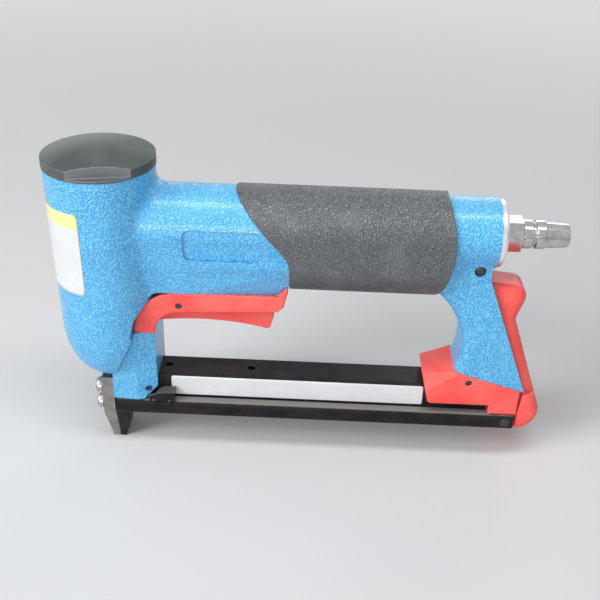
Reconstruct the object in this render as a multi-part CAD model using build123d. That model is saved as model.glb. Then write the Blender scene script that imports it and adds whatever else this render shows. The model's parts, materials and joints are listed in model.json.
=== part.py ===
from build123d import *
import os

# Pneumatic fine-wire stapler, in millimetres.
# The origin is the centre of the nose tip on the driver axis: X runs rearward along the magazine,
# Z runs up the driver axis and Y is the tool's width, about which the tool is symmetric.

os.makedirs("parts", exist_ok=True)

# Clearances
PIN_FIT = 0.05
BORE_FIT = 0.1
SLIDE_FIT = 0.3
MOVING_GAP = 0.4
PIN_SINK = 0.6

# Staple that the tool drives
CROWN_WIDTH = 12.8
WIRE_WIDTH = 0.95
WIRE_THICKNESS = 0.7

# Head barrel
HEAD_TOP_Z = 142.0
HEAD_TOP_RADIUS = 24.2
HEAD_ROUND_Z = 66.0
HEAD_ROUND_RADIUS = 22.7
HEAD_BOTTOM_Z = 38.0
HEAD_BOTTOM_FLAT = 6.0
HEAD_BORE_RADIUS = 20.4
NECK_BLEND = 5.0

# Head cap
CAP_LIP = 0.2
CAP_SIDE = 4.2
CAP_DOME = 5.0
CAP_PLUG_DEPTH = 8.0
CAP_CAVITY_RADIUS = 16.0
CAP_ROOF = 4.0
CAP_RIM = 0.9
CAP_FLATS = 40.8
CAP_TURN = 12.0
SEAL_SECTION = 1.8
CAP_SEAL_DROP = 2.0

# Cylinder, piston and driver
SLEEVE_BORE_RADIUS = 12.5
SLEEVE_WALL = 2.0
SLEEVE_FLOOR_Z = 60.0
SLEEVE_TOP_Z = 122.0
SLEEVE_COLLAR_Z = 86.0
SLEEVE_COLLAR_HEIGHT = 6.0
BUMPER_HEIGHT = 8.0
BUMPER_HOLE_RADIUS = 7.0
PISTON_HEIGHT = 13.0
PISTON_FIT = 0.3
DRIVER_STROKE = 37.0
DRIVER_WIDTH = 12.4
DRIVER_THICKNESS = 1.15
DRIVER_END_Z = 0.6
DRIVER_ROOT = 7.0
DRIVER_PIN_RADIUS = 1.5

# Head valve
VALVE_DISC_HEIGHT = 7.0
VALVE_DISC_GAP = 0.3
VALVE_SEAL_HEIGHT = 2.0
VALVE_SEAL_INNER = 11.5
VALVE_SEAL_OUTER = 16.0
VALVE_STEM_RADIUS = 4.0
VALVE_STEM_LENGTH = 13.0
VALVE_GUIDE_WALL = 2.0
VALVE_GUIDE_LENGTH = 6.0
HEAD_SPRING_INNER = 6.4
HEAD_SPRING_OUTER = 7.8

# Handle
HANDLE_Z = 116.2
HANDLE_RADIUS = 15.4
HANDLE_LOWER_Z = 103.6
HANDLE_BORE_RADIUS = 13.0
HANDLE_BORE_FRONT_X = 14.0
HANDLE_END_X = 173.3
HANDLE_END_RADIUS = 15.8
NECK_RADIUS = 16.8
NECK_FOOT = 24.4
NECK_UNDER_Z = 85.5
FACET_FRONT_X = 38.0
FACET_REAR_Z = 99.4
FACET_DEPTH = 2.8
PANEL_FRONT_X = 37.0
PANEL_LENGTH = 34.0
PANEL_HEIGHT = 15.4
PANEL_Z = 111.4
PANEL_DEPTH = 0.7
PANEL_CORNER = 3.0

# Grip
GRIP_THICKNESS = 2.1
GRIP_TOP = (57.0, 136.0)
GRIP_CORNER = (83.3, 105.8)
GRIP_CORNER_RADIUS = 14.0
GRIP_FOOT_Z = 84.0
GRIP_REAR_TOP = (149.5, 136.0)
GRIP_REAR_MID = (154.2, 115.0)
GRIP_REAR_FOOT = (145.4, 84.0)

# Rear end plug and air plug
PLUG_DEPTH = 14.0
PLUG_FLANGE = 3.0
PLUG_FLANGE_RADIUS = 15.0
PLUG_BEVEL = 1.2
PLUG_SEAL_X = 162.5
PLUG_PIN_X = 166.6
PLUG_PIN_Z = 102.8
PLUG_PIN_RADIUS = 2.5
PLUG_PIN_LENGTH = 23.4
PLUG_PIN_ROUND = 1.2
AIR_THREAD_RADIUS = 5.0
AIR_THREAD_LENGTH = 10.0
AIR_BORE_RADIUS = 3.4
AIR_HEX = 14.0
AIR_HEX_LENGTH = 7.8
AIR_COLLAR_RADIUS = 6.5
AIR_COLLAR_LENGTH = 4.6
AIR_GROOVE_RADIUS = 5.6
AIR_GROOVE_LENGTH = 1.0
AIR_EDGE = 0.5
AIR_TIP_RADIUS = 5.9
AIR_TIP_LENGTH = 10.4
AIR_TIP_END_RADIUS = 5.3
AIR_TIP_ROUND = 0.9

# Strut that joins the handle to the tail
STRUT_WIDTH = 24.0
STRUT_FRONT = (147.0, 91.5)
STRUT_FRONT_MID = (161.6, 71.5)
STRUT_FOOT_FRONT = (161.3, 49.3)
STRUT_FOOT_REAR = (195.2, 39.3)
STRUT_REAR_TOP = (171.7, 98.9)
STRUT_ROUND = 4.5
STRUT_BLEND = 8.0
POCKET_TOP = (162.0, 96.5)
POCKET_FOOT = (187.0, 42.0)
TONGUE_FRONT_X = 164.0
TONGUE_LENGTH = 11.0
TONGUE_WIDTH = 15.0
TONGUE_FOOT_Z = 39.4

# Latch lever and its pivot on the slide
LATCH_PIVOT = (188.0, 22.6)
LATCH_PIN_RADIUS = 2.15
LATCH_WIDTH = 19.0
LATCH_BULB_WIDTH = 24.4
LATCH_ROUND = 4.4
LATCH_BACK_RADIUS = 5.5
LATCH_BULB_ROUND = 4.5
LATCH_ARM_WIDTH = 1.5
LATCH_ARM_INSET = 5.5
LATCH_ARM_TIP_X = 168.8
LATCH_BARB_LENGTH = 3.0
LATCH_BARB_Z = 33.6
LATCH_BITE = 1.1
LATCH_ARM_FOOT_Z = 28.0
LATCH_SPRING_RADIUS = 3.6
LATCH_SPRING_WIDTH = 6.0
LATCH_HUB_RADIUS = 3.5
LATCH_TOP_FRONT = (170.5, 95.0)
LATCH_THUMB = (191.4, 92.6)
LATCH_WAIST = (186.7, 76.4)
LATCH_BULB_TOP = (203.5, 30.7)
LATCH_BULB_FOOT = (193.0, 16.3)
LATCH_BULB_SHOULDER = (194.8, 37.5)
LATCH_FRONT_FOOT = (190.5, 42.0)
LATCH_THROAT = (190.9, 35.5)
LATCH_WEB_TOP = (183.4, 29.5)
LATCH_WEB_FOOT = (184.2, 18.4)

# Trigger, its housing and the trigger valve
HOUSING_WIDTH = 25.0
HOUSING_WALL = 2.5
ARCH_X = 33.6
ARCH_Z = 64.0
ARCH_INNER = 11.6
HOUSING_REAR_X = 81.0
HOUSING_BACK_WALL = 2.6
HOUSING_REAR_Z = 77.7
HOUSING_ROUND = 0.8
HOUSING_LIP_Z = 91.0
HOUSING_LIP_X = 82.8
TRIGGER_PIN_Z = 79.1
TRIGGER_PIN_RADIUS = 1.5
TRIGGER_WIDTH = 13.0
TRIGGER_HUB_RADIUS = 3.6
TRIGGER_TIP_X = 76.4
TRIGGER_FRONT_X = 22.6
TRIGGER_FRONT_GAP = 0.8
TRIGGER_FRONT_Z = 67.2
TRIGGER_MID_Z = 68.6
TRIGGER_TIP_Z = 65.2
TRIGGER_TOP_Z = 77.2
TRIGGER_TOE = 3.4
TRIGGER_ROUND = 1.2
LUG_WALL = 2.5
LUG_RADIUS = 5.2
TRIGGER_VALVE_X = 58.0
TRIGGER_VALVE_RADIUS = 6.5
TRIGGER_VALVE_LENGTH = 19.6
TRIGGER_VALVE_DROP = 2.6
TRIGGER_VALVE_CHAMBER = 4.5
TRIGGER_VALVE_ROOF = 1.6
TRIGGER_VALVE_NECK = 9.0
TRIGGER_STEM_RADIUS = 2.0
TRIGGER_STEM_HEAD = 3.4
TRIGGER_STEM_HEAD_HEIGHT = 2.0
TRIGGER_STEM_GAP = 0.35
TRIGGER_SPRING_INNER = 2.0
TRIGGER_SPRING_OUTER = 3.2
VALVE_SEAL_SECTION = 1.2
VALVE_SEAL_INSET = 5.0

# Nose block under the head
BLOCK_FRONT_WIDTH = 26.4
BLOCK_RIDGE_X = 12.3
BLOCK_RIDGE_WIDTH = 28.0
BLOCK_REAR_X = 21.7
BLOCK_REAR_WIDTH = 22.0
BLOCK_BOTTOM_Z = 27.0
BLOCK_CHAMFER_X = 15.4
BLOCK_CHAMFER_Z = 33.5
HEAD_CUT_FOOT = (0.6, 37.0)
HEAD_CUT_APEX_X = 12.7
BLOCK_PIN_X = 17.6
BLOCK_PIN_Z = 32.6
BLOCK_PIN_RADIUS = 1.6
BLOCK_PIN_LENGTH = 4.4

# Nose plates
NOSE_PLANE_X = 0.85
GUIDE_THICKNESS = 2.75
DRIVE_SLOT_DEPTH = 1.6
FRONT_PLATE_THICKNESS = 3.0
NOSE_WIDTH = 26.0
NOSE_TIP_WIDTH = 15.8
NOSE_TAPER_Z = 19.0
NOSE_TIP_FLAT_Z = 3.0
FRONT_PLATE_TIP = 0.7
FRONT_BEVEL_Z = 16.0
NOSE_SCREW_SPREAD = 19.2
NOSE_SCREW_Z = 23.0
NOSE_SCREW_PITCH = 9.0
NOSE_SCREW_RADIUS = 1.75
NOSE_SCREW_HEAD_RADIUS = 3.9
NOSE_SCREW_HEAD_HEIGHT = 3.1
NOSE_SCREW_SLOT = 1.0
NOSE_SCREW_DEPTH = 11.0

# Fixed magazine
SHEET = 1.2
MAGAZINE_WIDTH = 16.8
MAGAZINE_TOP_Z = 38.5
MAGAZINE_FRONT_X = 14.4
MAGAZINE_REAR_X = 166.0
MAGAZINE_BEND = 1.6
MAGAZINE_HEEL_Z = 32.0
FLANGE_WIDTH = 4.0
MAGAZINE_HOLE_X = 25.6
MAGAZINE_HOLE_PITCH = 40.2
MAGAZINE_HOLE_RADIUS = 2.0

# Loading slide
SLIDE_WIDTH = 28.0
SLIDE_BOTTOM_Z = 18.5
SLIDE_HEIGHT = 7.8
SLIDE_FRONT_X = 1.7
SLIDE_REAR_X = 192.0
SLIDE_OPEN_REAR = 11.0
SLIDE_BEND = 1.8
CORE_GAP = 0.12
CORE_SLOT = 3.2
CORE_SLOT_FRONT_X = 20.0
CORE_SLOT_LENGTH = 118.0
CORE_PLUG = 5.0
CORE_FRONT_PLUG = 15.0
CORE_FRONT_SCREW = 12.0
ROD_RADIUS = 1.5
ROD_Z = 28.0
INNER_NOSE_GAP = 0.1
INNER_NOSE_LENGTH = 4.7
INNER_NOSE_TIP_LENGTH = 2.8
INNER_NOSE_TAPER_Z = 10.0
CORE_SCREW_RADIUS = 1.5
CORE_SCREW_HEAD_RADIUS = 2.8
CORE_SCREW_HEAD_HEIGHT = 1.6
CORE_SCREW_LENGTH = 4.2
CORE_REAR_SCREW = 2.4
PUSHER_SHEET = 0.75
PUSHER_FRONT_X = 2.2
PUSHER_LENGTH = 26.0
PUSHER_FOOT_Z = 22.0
PUSHER_TONGUE_X = 22.0
PUSHER_TONGUE_LENGTH = 3.4
PUSHER_TONGUE_WIDTH = 2.4
PUSHER_RING_RADIUS = 3.4
PUSHER_SPRING_RADIUS = 3.0
CLIP_FRONT_X = 17.6
CLIP_REAR_X = 30.0
CLIP_HEIGHT = 5.75
CLIP_RIM = 5.2
CLIP_NOSE_HEIGHT = 3.1
CLIP_SLOPE_LENGTH = 7.0
CLIP_SHEET = 0.9
CLIP_PRONG_WIDTH = 1.5
CLIP_PRONG_DROP = 1.2
CLIP_PRONG_RISE = 1.0
CLIP_PRONG_INSET = 1.6

# Tail seat
TAIL_WIDTH = 25.0
TAIL_FRONT_TOP = (146.8, 45.8)
TAIL_TOP_MID = (154.0, 47.2)
TAIL_FRONT_FOOT = (150.4, 31.4)
TAIL_STEP_X = 179.5
TAIL_REAR_X = 193.0
TAIL_CREASE_FRONT = (150.9, 39.4)
TAIL_CREASE_REAR = (163.1, 48.2)
TAIL_PIN_X = 168.6
TAIL_PIN_Z = 43.6
TAIL_PIN_RADIUS = 1.5
TAIL_CATCH_LENGTH = 3.0
TAIL_LEAN = 4.5
TAIL_ROUND = 2.0

# Places worked out from the sizes above
CAP_RADIUS = HEAD_TOP_RADIUS + CAP_LIP
CAP_TOP_Z = HEAD_TOP_Z + CAP_SIDE
ARCH_OUTER = NECK_UNDER_Z - ARCH_Z
PISTON_BOTTOM_Z = SLEEVE_FLOOR_Z + BUMPER_HEIGHT + SLIDE_FIT + DRIVER_STROKE
PISTON_TOP_Z = PISTON_BOTTOM_Z + PISTON_HEIGHT
DRIVER_REST_Z = DRIVER_END_Z + DRIVER_STROKE
VALVE_DISC_Z = SLEEVE_TOP_Z + VALVE_DISC_GAP
VALVE_DISC_TOP_Z = VALVE_DISC_Z + VALVE_DISC_HEIGHT
VALVE_STEM_TOP_Z = VALVE_DISC_TOP_Z + VALVE_STEM_LENGTH
CAP_CAVITY_TOP_Z = HEAD_TOP_Z + CAP_ROOF
SLEEVE_RADIUS = SLEEVE_BORE_RADIUS + SLEEVE_WALL
GRIP_RADIUS = HANDLE_RADIUS + GRIP_THICKNESS
SLIDE_TOP_Z = SLIDE_BOTTOM_Z + SLIDE_HEIGHT
SLIDE_FLOOR_Z = SLIDE_BOTTOM_Z + SHEET
FLANGE_TOP_Z = SLIDE_TOP_Z - SHEET - SLIDE_FIT
MAGAZINE_ROOF_Z = MAGAZINE_TOP_Z - SHEET
LIP_INNER_Y = MAGAZINE_WIDTH / 2 + SLIDE_FIT * 2
CORE_WIDTH = CROWN_WIDTH - 2 * WIRE_WIDTH - 2 * CORE_GAP
CORE_TOP_Z = MAGAZINE_ROOF_Z - WIRE_THICKNESS - MOVING_GAP
TRACK_WIDTH = MAGAZINE_WIDTH - 2 * SHEET
GUIDE_FRONT_X = NOSE_PLANE_X - GUIDE_THICKNESS
FRONT_PLATE_X = GUIDE_FRONT_X - FRONT_PLATE_THICKNESS
INNER_NOSE_X = NOSE_PLANE_X + INNER_NOSE_GAP
LUG_INNER_Y = TRIGGER_WIDTH / 2 + SLIDE_FIT
LUG_OUTER_Y = LUG_INNER_Y + LUG_WALL
TRIGGER_VALVE_FOOT_Z = NECK_UNDER_Z - TRIGGER_VALVE_DROP
TRIGGER_VALVE_TOP_Z = TRIGGER_VALVE_FOOT_Z + TRIGGER_VALVE_LENGTH
TRIGGER_STEM_FOOT_Z = TRIGGER_TOP_Z + TRIGGER_STEM_GAP
TRIGGER_CHAMBER_Z = TRIGGER_VALVE_FOOT_Z + TRIGGER_VALVE_NECK
POCKET_WIDTH = LATCH_WIDTH + 2 * MOVING_GAP
PLUG_INNER_X = HANDLE_END_X - PLUG_DEPTH
PLUG_FACE_X = HANDLE_END_X + PLUG_FLANGE
SLIDE_OPEN_X = SLIDE_REAR_X - SLIDE_OPEN_REAR
CAP_SEAL_Z = HEAD_TOP_Z - CAP_SEAL_DROP - SEAL_SECTION / 2
CAP_SEAL_MAJOR = HEAD_BORE_RADIUS - PIN_FIT - SEAL_SECTION / 2
SLEEVE_SEAL_Z = SLEEVE_COLLAR_Z + SLEEVE_COLLAR_HEIGHT / 2
DRIVER_PIN_Z = PISTON_BOTTOM_Z + DRIVER_ROOT / 2
DRIVER_PIN_REACH = SLEEVE_BORE_RADIUS / 2
CHEEK_INNER_Y = HOUSING_WIDTH / 2 - HOUSING_WALL
PISTON_RING_Z = PISTON_TOP_Z - PISTON_HEIGHT / 4
PISTON_RING_MAJOR = SLEEVE_BORE_RADIUS - BORE_FIT - SEAL_SECTION / 2
VALVE_RING_Z = VALVE_DISC_TOP_Z - VALVE_DISC_HEIGHT / 3
VALVE_RING_MAJOR = HEAD_BORE_RADIUS - BORE_FIT - SEAL_SECTION / 2
PLUG_SEAL_MAJOR = HANDLE_BORE_RADIUS - PIN_FIT - SEAL_SECTION / 2
TRIGGER_ROOF_Z = TRIGGER_VALVE_TOP_Z - TRIGGER_VALVE_ROOF
TRIGGER_HEAD_Z = TRIGGER_CHAMBER_Z + BORE_FIT
VALVE_SEALS_Z = (TRIGGER_VALVE_FOOT_Z + VALVE_SEAL_INSET, TRIGGER_VALVE_TOP_Z - VALVE_SEAL_INSET)
STRUT_FOOT_SLOPE = (STRUT_FOOT_FRONT[1] - STRUT_FOOT_REAR[1]) / (STRUT_FOOT_REAR[0] - STRUT_FOOT_FRONT[0])
CORE_SCREWS_X = (CORE_FRONT_SCREW, MAGAZINE_REAR_X - CORE_REAR_SCREW)
CORE_SCREW_TOP_Z = SLIDE_FLOOR_Z + CORE_SCREW_LENGTH
ROD_START_X = INNER_NOSE_X + CORE_FRONT_PLUG / 2
ROD_END_X = MAGAZINE_REAR_X - CORE_PLUG / 2
TAIL_CAVITY_WIDTH = POCKET_WIDTH
LATCH_CATCH_X = LATCH_ARM_TIP_X + LATCH_BARB_LENGTH + MOVING_GAP


def rod_x(start, end, radius, y=0.0, z=0.0):
    """Cylinder along X between two places."""
    return Pos((start + end) / 2, y, z) * Rot(0, 90, 0) * Cylinder(radius, end - start)


def rod_y(start, end, radius, x=0.0, z=0.0):
    """Cylinder along Y between two places."""
    return Pos(x, (start + end) / 2, z) * Rot(90, 0, 0) * Cylinder(radius, end - start)


def rod_z(start, end, radius, x=0.0, y=0.0):
    """Cylinder along Z between two places."""
    return Pos(x, y, (start + end) / 2) * Cylinder(radius, end - start)


def block(x, y, z):
    """Box from three (start, end) pairs."""
    size = [pair[1] - pair[0] for pair in (x, y, z)]
    middle = [(pair[0] + pair[1]) / 2 for pair in (x, y, z)]
    return Pos(*middle) * Box(*size)


def ring_z(start, end, inner, outer, x=0.0, y=0.0):
    """Ring about Z."""
    return rod_z(start, end, outer, x, y) - rod_z(start, end, inner, x, y)


def ring_x(start, end, inner, outer, z):
    """Ring about X."""
    return rod_x(start, end, outer, 0, z) - rod_x(start, end, inner, 0, z)


def side_slab(outline, width):
    """Side-view outline in X and Z, drawn out to both sides of the middle plane."""
    return extrude(Plane.XZ * make_face(outline), amount=width / 2, both=True)


def polygon_slab(points, width):
    """Side-view polygon drawn out to both sides of the middle plane."""
    return side_slab(Polyline(*points, close=True), width)


def front_slab(points, start, end):
    """Front-view polygon in Y and Z, drawn from one X to another."""
    face = make_face(Polyline(*points, close=True))
    return extrude(Plane.YZ.offset(start) * face, amount=end - start)


def both_sides(shape):
    """A piece and its mirror image on the other side of the middle plane."""
    return [shape, mirror(shape, about=Plane.XZ)]


def trim_sides(shape, first, second, third):
    """Cut both sides of a piece with a plane through three points given on the +Y side."""
    start = Vector(*first)
    along = Vector(*second) - start
    normal = along.cross(Vector(*third) - start)
    if normal.Y < 0:
        normal = normal * -1
    flat = Plane(origin=start, x_dir=along, z_dir=normal)
    shape = split(shape, bisect_by=flat, keep=Keep.BOTTOM)
    far_normal = Vector(normal.X, -normal.Y, normal.Z)
    far_flat = Plane(origin=(start.X, -start.Y, start.Z), z_dir=far_normal)
    return split(shape, bisect_by=far_flat, keep=Keep.BOTTOM)


def on_line(start, end, z):
    """X of the side-view line through two points at one height."""
    return start[0] + (end[0] - start[0]) * (z - start[1]) / (end[1] - start[1])


# Body casting

def head_form():
    """Tapered head barrel with a rounded lower end, cut away behind for the nose block."""
    rounding = EllipticalCenterArc(
        (HEAD_BOTTOM_FLAT, HEAD_ROUND_Z),
        HEAD_ROUND_RADIUS - HEAD_BOTTOM_FLAT,
        HEAD_ROUND_Z - HEAD_BOTTOM_Z,
        start_angle=-90,
        arc_size=90,
    )
    walls = Polyline(
        (HEAD_ROUND_RADIUS, HEAD_ROUND_Z),
        (HEAD_TOP_RADIUS, HEAD_TOP_Z),
        (0, HEAD_TOP_Z),
        (0, HEAD_BOTTOM_Z),
        (HEAD_BOTTOM_FLAT, HEAD_BOTTOM_Z),
    )
    return revolve(Plane.XZ * make_face([rounding, *walls.edges()]), Axis.Z)


def head_cut():
    """Room behind the rounded lower end of the head."""
    rear = 2 * HEAD_TOP_RADIUS
    outline = [HEAD_CUT_FOOT, (HEAD_CUT_APEX_X, ARCH_Z), (rear, ARCH_Z), (rear, HEAD_CUT_FOOT[1])]
    return polygon_slab(outline, 4 * HEAD_TOP_RADIUS)


def grip_front_edge():
    """Front edge of the grip in the side view, from the top down."""
    foot = (GRIP_CORNER[0], GRIP_FOOT_Z)
    return FilletPolyline(GRIP_TOP, GRIP_CORNER, foot, radius=GRIP_CORNER_RADIUS)


def grip_rear_edge():
    """Rear edge of the grip in the side view, from the top down."""
    return ThreePointArc(GRIP_REAR_TOP, GRIP_REAR_MID, GRIP_REAR_FOOT)


def edge_slab(edges, far_x):
    """Everything between a side-view edge of the grip and a far X."""
    top = edges[0] @ 0
    foot = edges[-1] @ 1
    rest = Polyline((foot.X, foot.Y), (far_x, foot.Y), (far_x, top.Y), (top.X, top.Y))
    return side_slab([*edges, *rest.edges()], 4 * NECK_RADIUS)


def handle_section(radius):
    """Upright rounded section of the handle in Y and Z."""
    middle = (HANDLE_Z + HANDLE_LOWER_Z) / 2
    flat = Pos(0, middle) * Rectangle(2 * radius, HANDLE_Z - HANDLE_LOWER_Z)
    return flat + Pos(0, HANDLE_Z) * Circle(radius) + Pos(0, HANDLE_LOWER_Z) * Circle(radius)


def handle_prism(radius, start, end):
    """Handle section drawn along X."""
    return extrude(Plane.YZ.offset(start) * handle_section(radius), amount=end - start)


def neck_core(inset=0.0):
    """Plain neck, narrower at its foot, drawn in all round by an inset."""
    reach = GRIP_CORNER[0]
    foot = NECK_FOOT / 2 - inset
    side = NECK_RADIUS - inset
    section = [(-foot, NECK_UNDER_Z), (foot, NECK_UNDER_Z), (side, HANDLE_Z), (-side, HANDLE_Z)]
    return front_slab(section, 0, reach) + rod_x(0, reach, side, 0, HANDLE_Z)


def neck_form():
    """Neck between the head and the grip, with a facet along the foot of each side."""
    reach = GRIP_CORNER[0]
    side_slope = (NECK_RADIUS - NECK_FOOT / 2) / (HANDLE_Z - NECK_UNDER_Z)
    facet_y = NECK_FOOT / 2 + side_slope * (FACET_REAR_Z - NECK_UNDER_Z)
    neck = trim_sides(
        neck_core(),
        (FACET_FRONT_X, NECK_FOOT / 2, NECK_UNDER_Z),
        (reach, facet_y, FACET_REAR_Z),
        (reach, NECK_FOOT / 2 - FACET_DEPTH, NECK_UNDER_Z),
    )
    return neck & edge_slab(grip_front_edge().edges(), 0)


def lip_corner():
    """Slanted corner under the neck's rear end that the housing's lip fits into."""
    start = HOUSING_REAR_X - HOUSING_BACK_WALL - BORE_FIT
    end = GRIP_CORNER[0] + MOVING_GAP
    rise = (HOUSING_LIP_Z - NECK_UNDER_Z) / (HOUSING_LIP_X - HOUSING_REAR_X + HOUSING_BACK_WALL)
    corner = [(start, NECK_UNDER_Z), (end, NECK_UNDER_Z + rise * (end - start)), (end, NECK_UNDER_Z)]
    return polygon_slab(corner, 2 * NECK_FOOT)


def strut_form():
    """Slanted strut from the handle's rear end to the tail, rounded along its front."""
    curve = ThreePointArc(STRUT_FRONT, STRUT_FRONT_MID, STRUT_FOOT_FRONT)
    rest = Polyline(
        STRUT_FOOT_FRONT,
        STRUT_FOOT_REAR,
        STRUT_REAR_TOP,
        (STRUT_REAR_TOP[0], HANDLE_Z),
        (STRUT_FRONT[0], HANDLE_Z),
        STRUT_FRONT,
    )
    strut = side_slab([curve, *rest.edges()], STRUT_WIDTH)
    front_edges = strut.edges().filter_by(GeomType.CIRCLE)
    return fillet(front_edges, STRUT_ROUND)


def handle_end():
    """Round rear end of the handle, running smoothly into the strut's sides."""
    end = rod_x(GRIP_REAR_FOOT[0], HANDLE_END_X, HANDLE_END_RADIUS, 0, HANDLE_Z)
    strut = strut_form()
    rear = end + strut
    creases = new_edges(end, strut, combined=rear).filter_by(Axis.X)
    return fillet(creases, STRUT_BLEND)


def latch_pocket():
    """Hollow in the rear of the strut and the tail that the latch lever moves in."""
    far_x = STRUT_FOOT_REAR[0] + LATCH_WIDTH
    low_z = SLIDE_TOP_Z
    outline = [
        POCKET_TOP,
        (far_x, POCKET_TOP[1]),
        (far_x, low_z),
        (on_line(POCKET_TOP, POCKET_FOOT, low_z), low_z),
    ]
    return polygon_slab(outline, POCKET_WIDTH)


def tongue(clearance=0.0):
    """Tongue under the strut that the tail is pinned to."""
    x = (TONGUE_FRONT_X - clearance, TONGUE_FRONT_X + TONGUE_LENGTH + clearance)
    y = (-TONGUE_WIDTH / 2 - clearance, TONGUE_WIDTH / 2 + clearance)
    return block(x, y, (TONGUE_FOOT_Z - clearance, STRUT_FOOT_FRONT[1] + STRUT_ROUND))


def nose_block_form():
    """Post under the head that the magazine and the nose plates are fixed to."""
    plan = [
        (NOSE_PLANE_X, -BLOCK_FRONT_WIDTH / 2),
        (BLOCK_RIDGE_X, -BLOCK_RIDGE_WIDTH / 2),
        (BLOCK_REAR_X, -BLOCK_REAR_WIDTH / 2),
        (BLOCK_REAR_X, BLOCK_REAR_WIDTH / 2),
        (BLOCK_RIDGE_X, BLOCK_RIDGE_WIDTH / 2),
        (NOSE_PLANE_X, BLOCK_FRONT_WIDTH / 2),
    ]
    face = make_face(Polyline(*plan, close=True))
    post = extrude(Plane.XY.offset(BLOCK_BOTTOM_Z) * face, amount=ARCH_Z - BLOCK_BOTTOM_Z)
    corner = [
        (BLOCK_CHAMFER_X, BLOCK_BOTTOM_Z),
        (BLOCK_REAR_X, BLOCK_CHAMFER_Z),
        (BLOCK_REAR_X, BLOCK_BOTTOM_Z),
    ]
    post -= polygon_slab(corner, 2 * BLOCK_RIDGE_WIDTH)
    track = (-TRACK_WIDTH / 2, TRACK_WIDTH / 2)
    seat = (-MAGAZINE_WIDTH / 2 - BORE_FIT, MAGAZINE_WIDTH / 2 + BORE_FIT)
    post -= block((0, BLOCK_REAR_X), track, (0, MAGAZINE_ROOF_Z))
    post -= block((MAGAZINE_FRONT_X - BORE_FIT, BLOCK_REAR_X), seat, (0, MAGAZINE_TOP_Z + BORE_FIT))
    pin_hole = BLOCK_PIN_RADIUS + PIN_FIT
    return post - rod_y(-BLOCK_RIDGE_WIDTH, BLOCK_RIDGE_WIDTH, pin_hole, BLOCK_PIN_X, BLOCK_PIN_Z)


def trigger_lug():
    """One of the two ears under the neck that carry the trigger pin."""
    y = (LUG_INNER_Y, LUG_OUTER_Y)
    web = block((ARCH_X - LUG_RADIUS, ARCH_X + LUG_RADIUS), y, (TRIGGER_PIN_Z, NECK_UNDER_Z + LUG_WALL))
    ear = web + rod_y(LUG_INNER_Y, LUG_OUTER_Y, LUG_RADIUS, ARCH_X, TRIGGER_PIN_Z)
    return ear - rod_y(LUG_INNER_Y, LUG_OUTER_Y, TRIGGER_PIN_RADIUS + PIN_FIT, ARCH_X, TRIGGER_PIN_Z)


def trigger_bay():
    """Room for the trigger, its housing's cheeks and the fingers, with a web left between the cheeks."""
    wide = (-2 * NECK_RADIUS, 2 * NECK_RADIUS)
    arch = rod_y(*wide, ARCH_OUTER + BORE_FIT, ARCH_X, ARCH_Z)
    arch &= block((0, ARCH_X), wide, (ARCH_Z, NECK_UNDER_Z))
    web_y = CHEEK_INNER_Y - BORE_FIT
    web = block((0, TRIGGER_FRONT_X - TRIGGER_FRONT_GAP), (-web_y, web_y), (ARCH_Z, NECK_UNDER_Z))
    web -= rod_y(*wide, ARCH_INNER, ARCH_X, ARCH_Z)
    return arch - web + block((ARCH_X, STRUT_FRONT[0] - NECK_BLEND), wide, (ARCH_Z, NECK_UNDER_Z))


def side_panel():
    """Shallow rounded panel on one side of the neck, of one depth all over."""
    x = (PANEL_FRONT_X, PANEL_FRONT_X + PANEL_LENGTH)
    z = (PANEL_Z - PANEL_HEIGHT / 2, PANEL_Z + PANEL_HEIGHT / 2)
    panel = block(x, (0, 2 * NECK_RADIUS), z)
    panel = fillet(panel.edges().filter_by(Axis.Y), PANEL_CORNER)
    return panel - neck_core(PANEL_DEPTH)


def casting_bores():
    """Bores and screw holes of the casting."""
    slot_y = DRIVER_WIDTH / 2 + MOVING_GAP
    slot_x = DRIVER_THICKNESS / 2 + MOVING_GAP
    bores = [
        rod_z(SLEEVE_COLLAR_Z, HEAD_TOP_Z, HEAD_BORE_RADIUS),
        rod_z(SLEEVE_FLOOR_Z, SLEEVE_COLLAR_Z, SLEEVE_RADIUS + BORE_FIT),
        block((-slot_x, slot_x), (-slot_y, slot_y), (MAGAZINE_ROOF_Z, SLEEVE_FLOOR_Z)),
        rod_x(HANDLE_BORE_FRONT_X, HANDLE_END_X, HANDLE_BORE_RADIUS, 0, HANDLE_Z),
        rod_z(NECK_UNDER_Z, HANDLE_Z, TRIGGER_VALVE_RADIUS + PIN_FIT, TRIGGER_VALVE_X),
        rod_y(-STRUT_WIDTH, STRUT_WIDTH, PLUG_PIN_RADIUS + PIN_FIT, PLUG_PIN_X, PLUG_PIN_Z),
        rod_y(-STRUT_WIDTH, STRUT_WIDTH, TAIL_PIN_RADIUS + PIN_FIT, TAIL_PIN_X, TAIL_PIN_Z),
    ]
    upper_z = NOSE_SCREW_Z + NOSE_SCREW_PITCH
    hole = rod_x(0, NOSE_PLANE_X + NOSE_SCREW_DEPTH, NOSE_SCREW_RADIUS + PIN_FIT, NOSE_SCREW_SPREAD / 2, upper_z)
    return bores + both_sides(hole)


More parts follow.
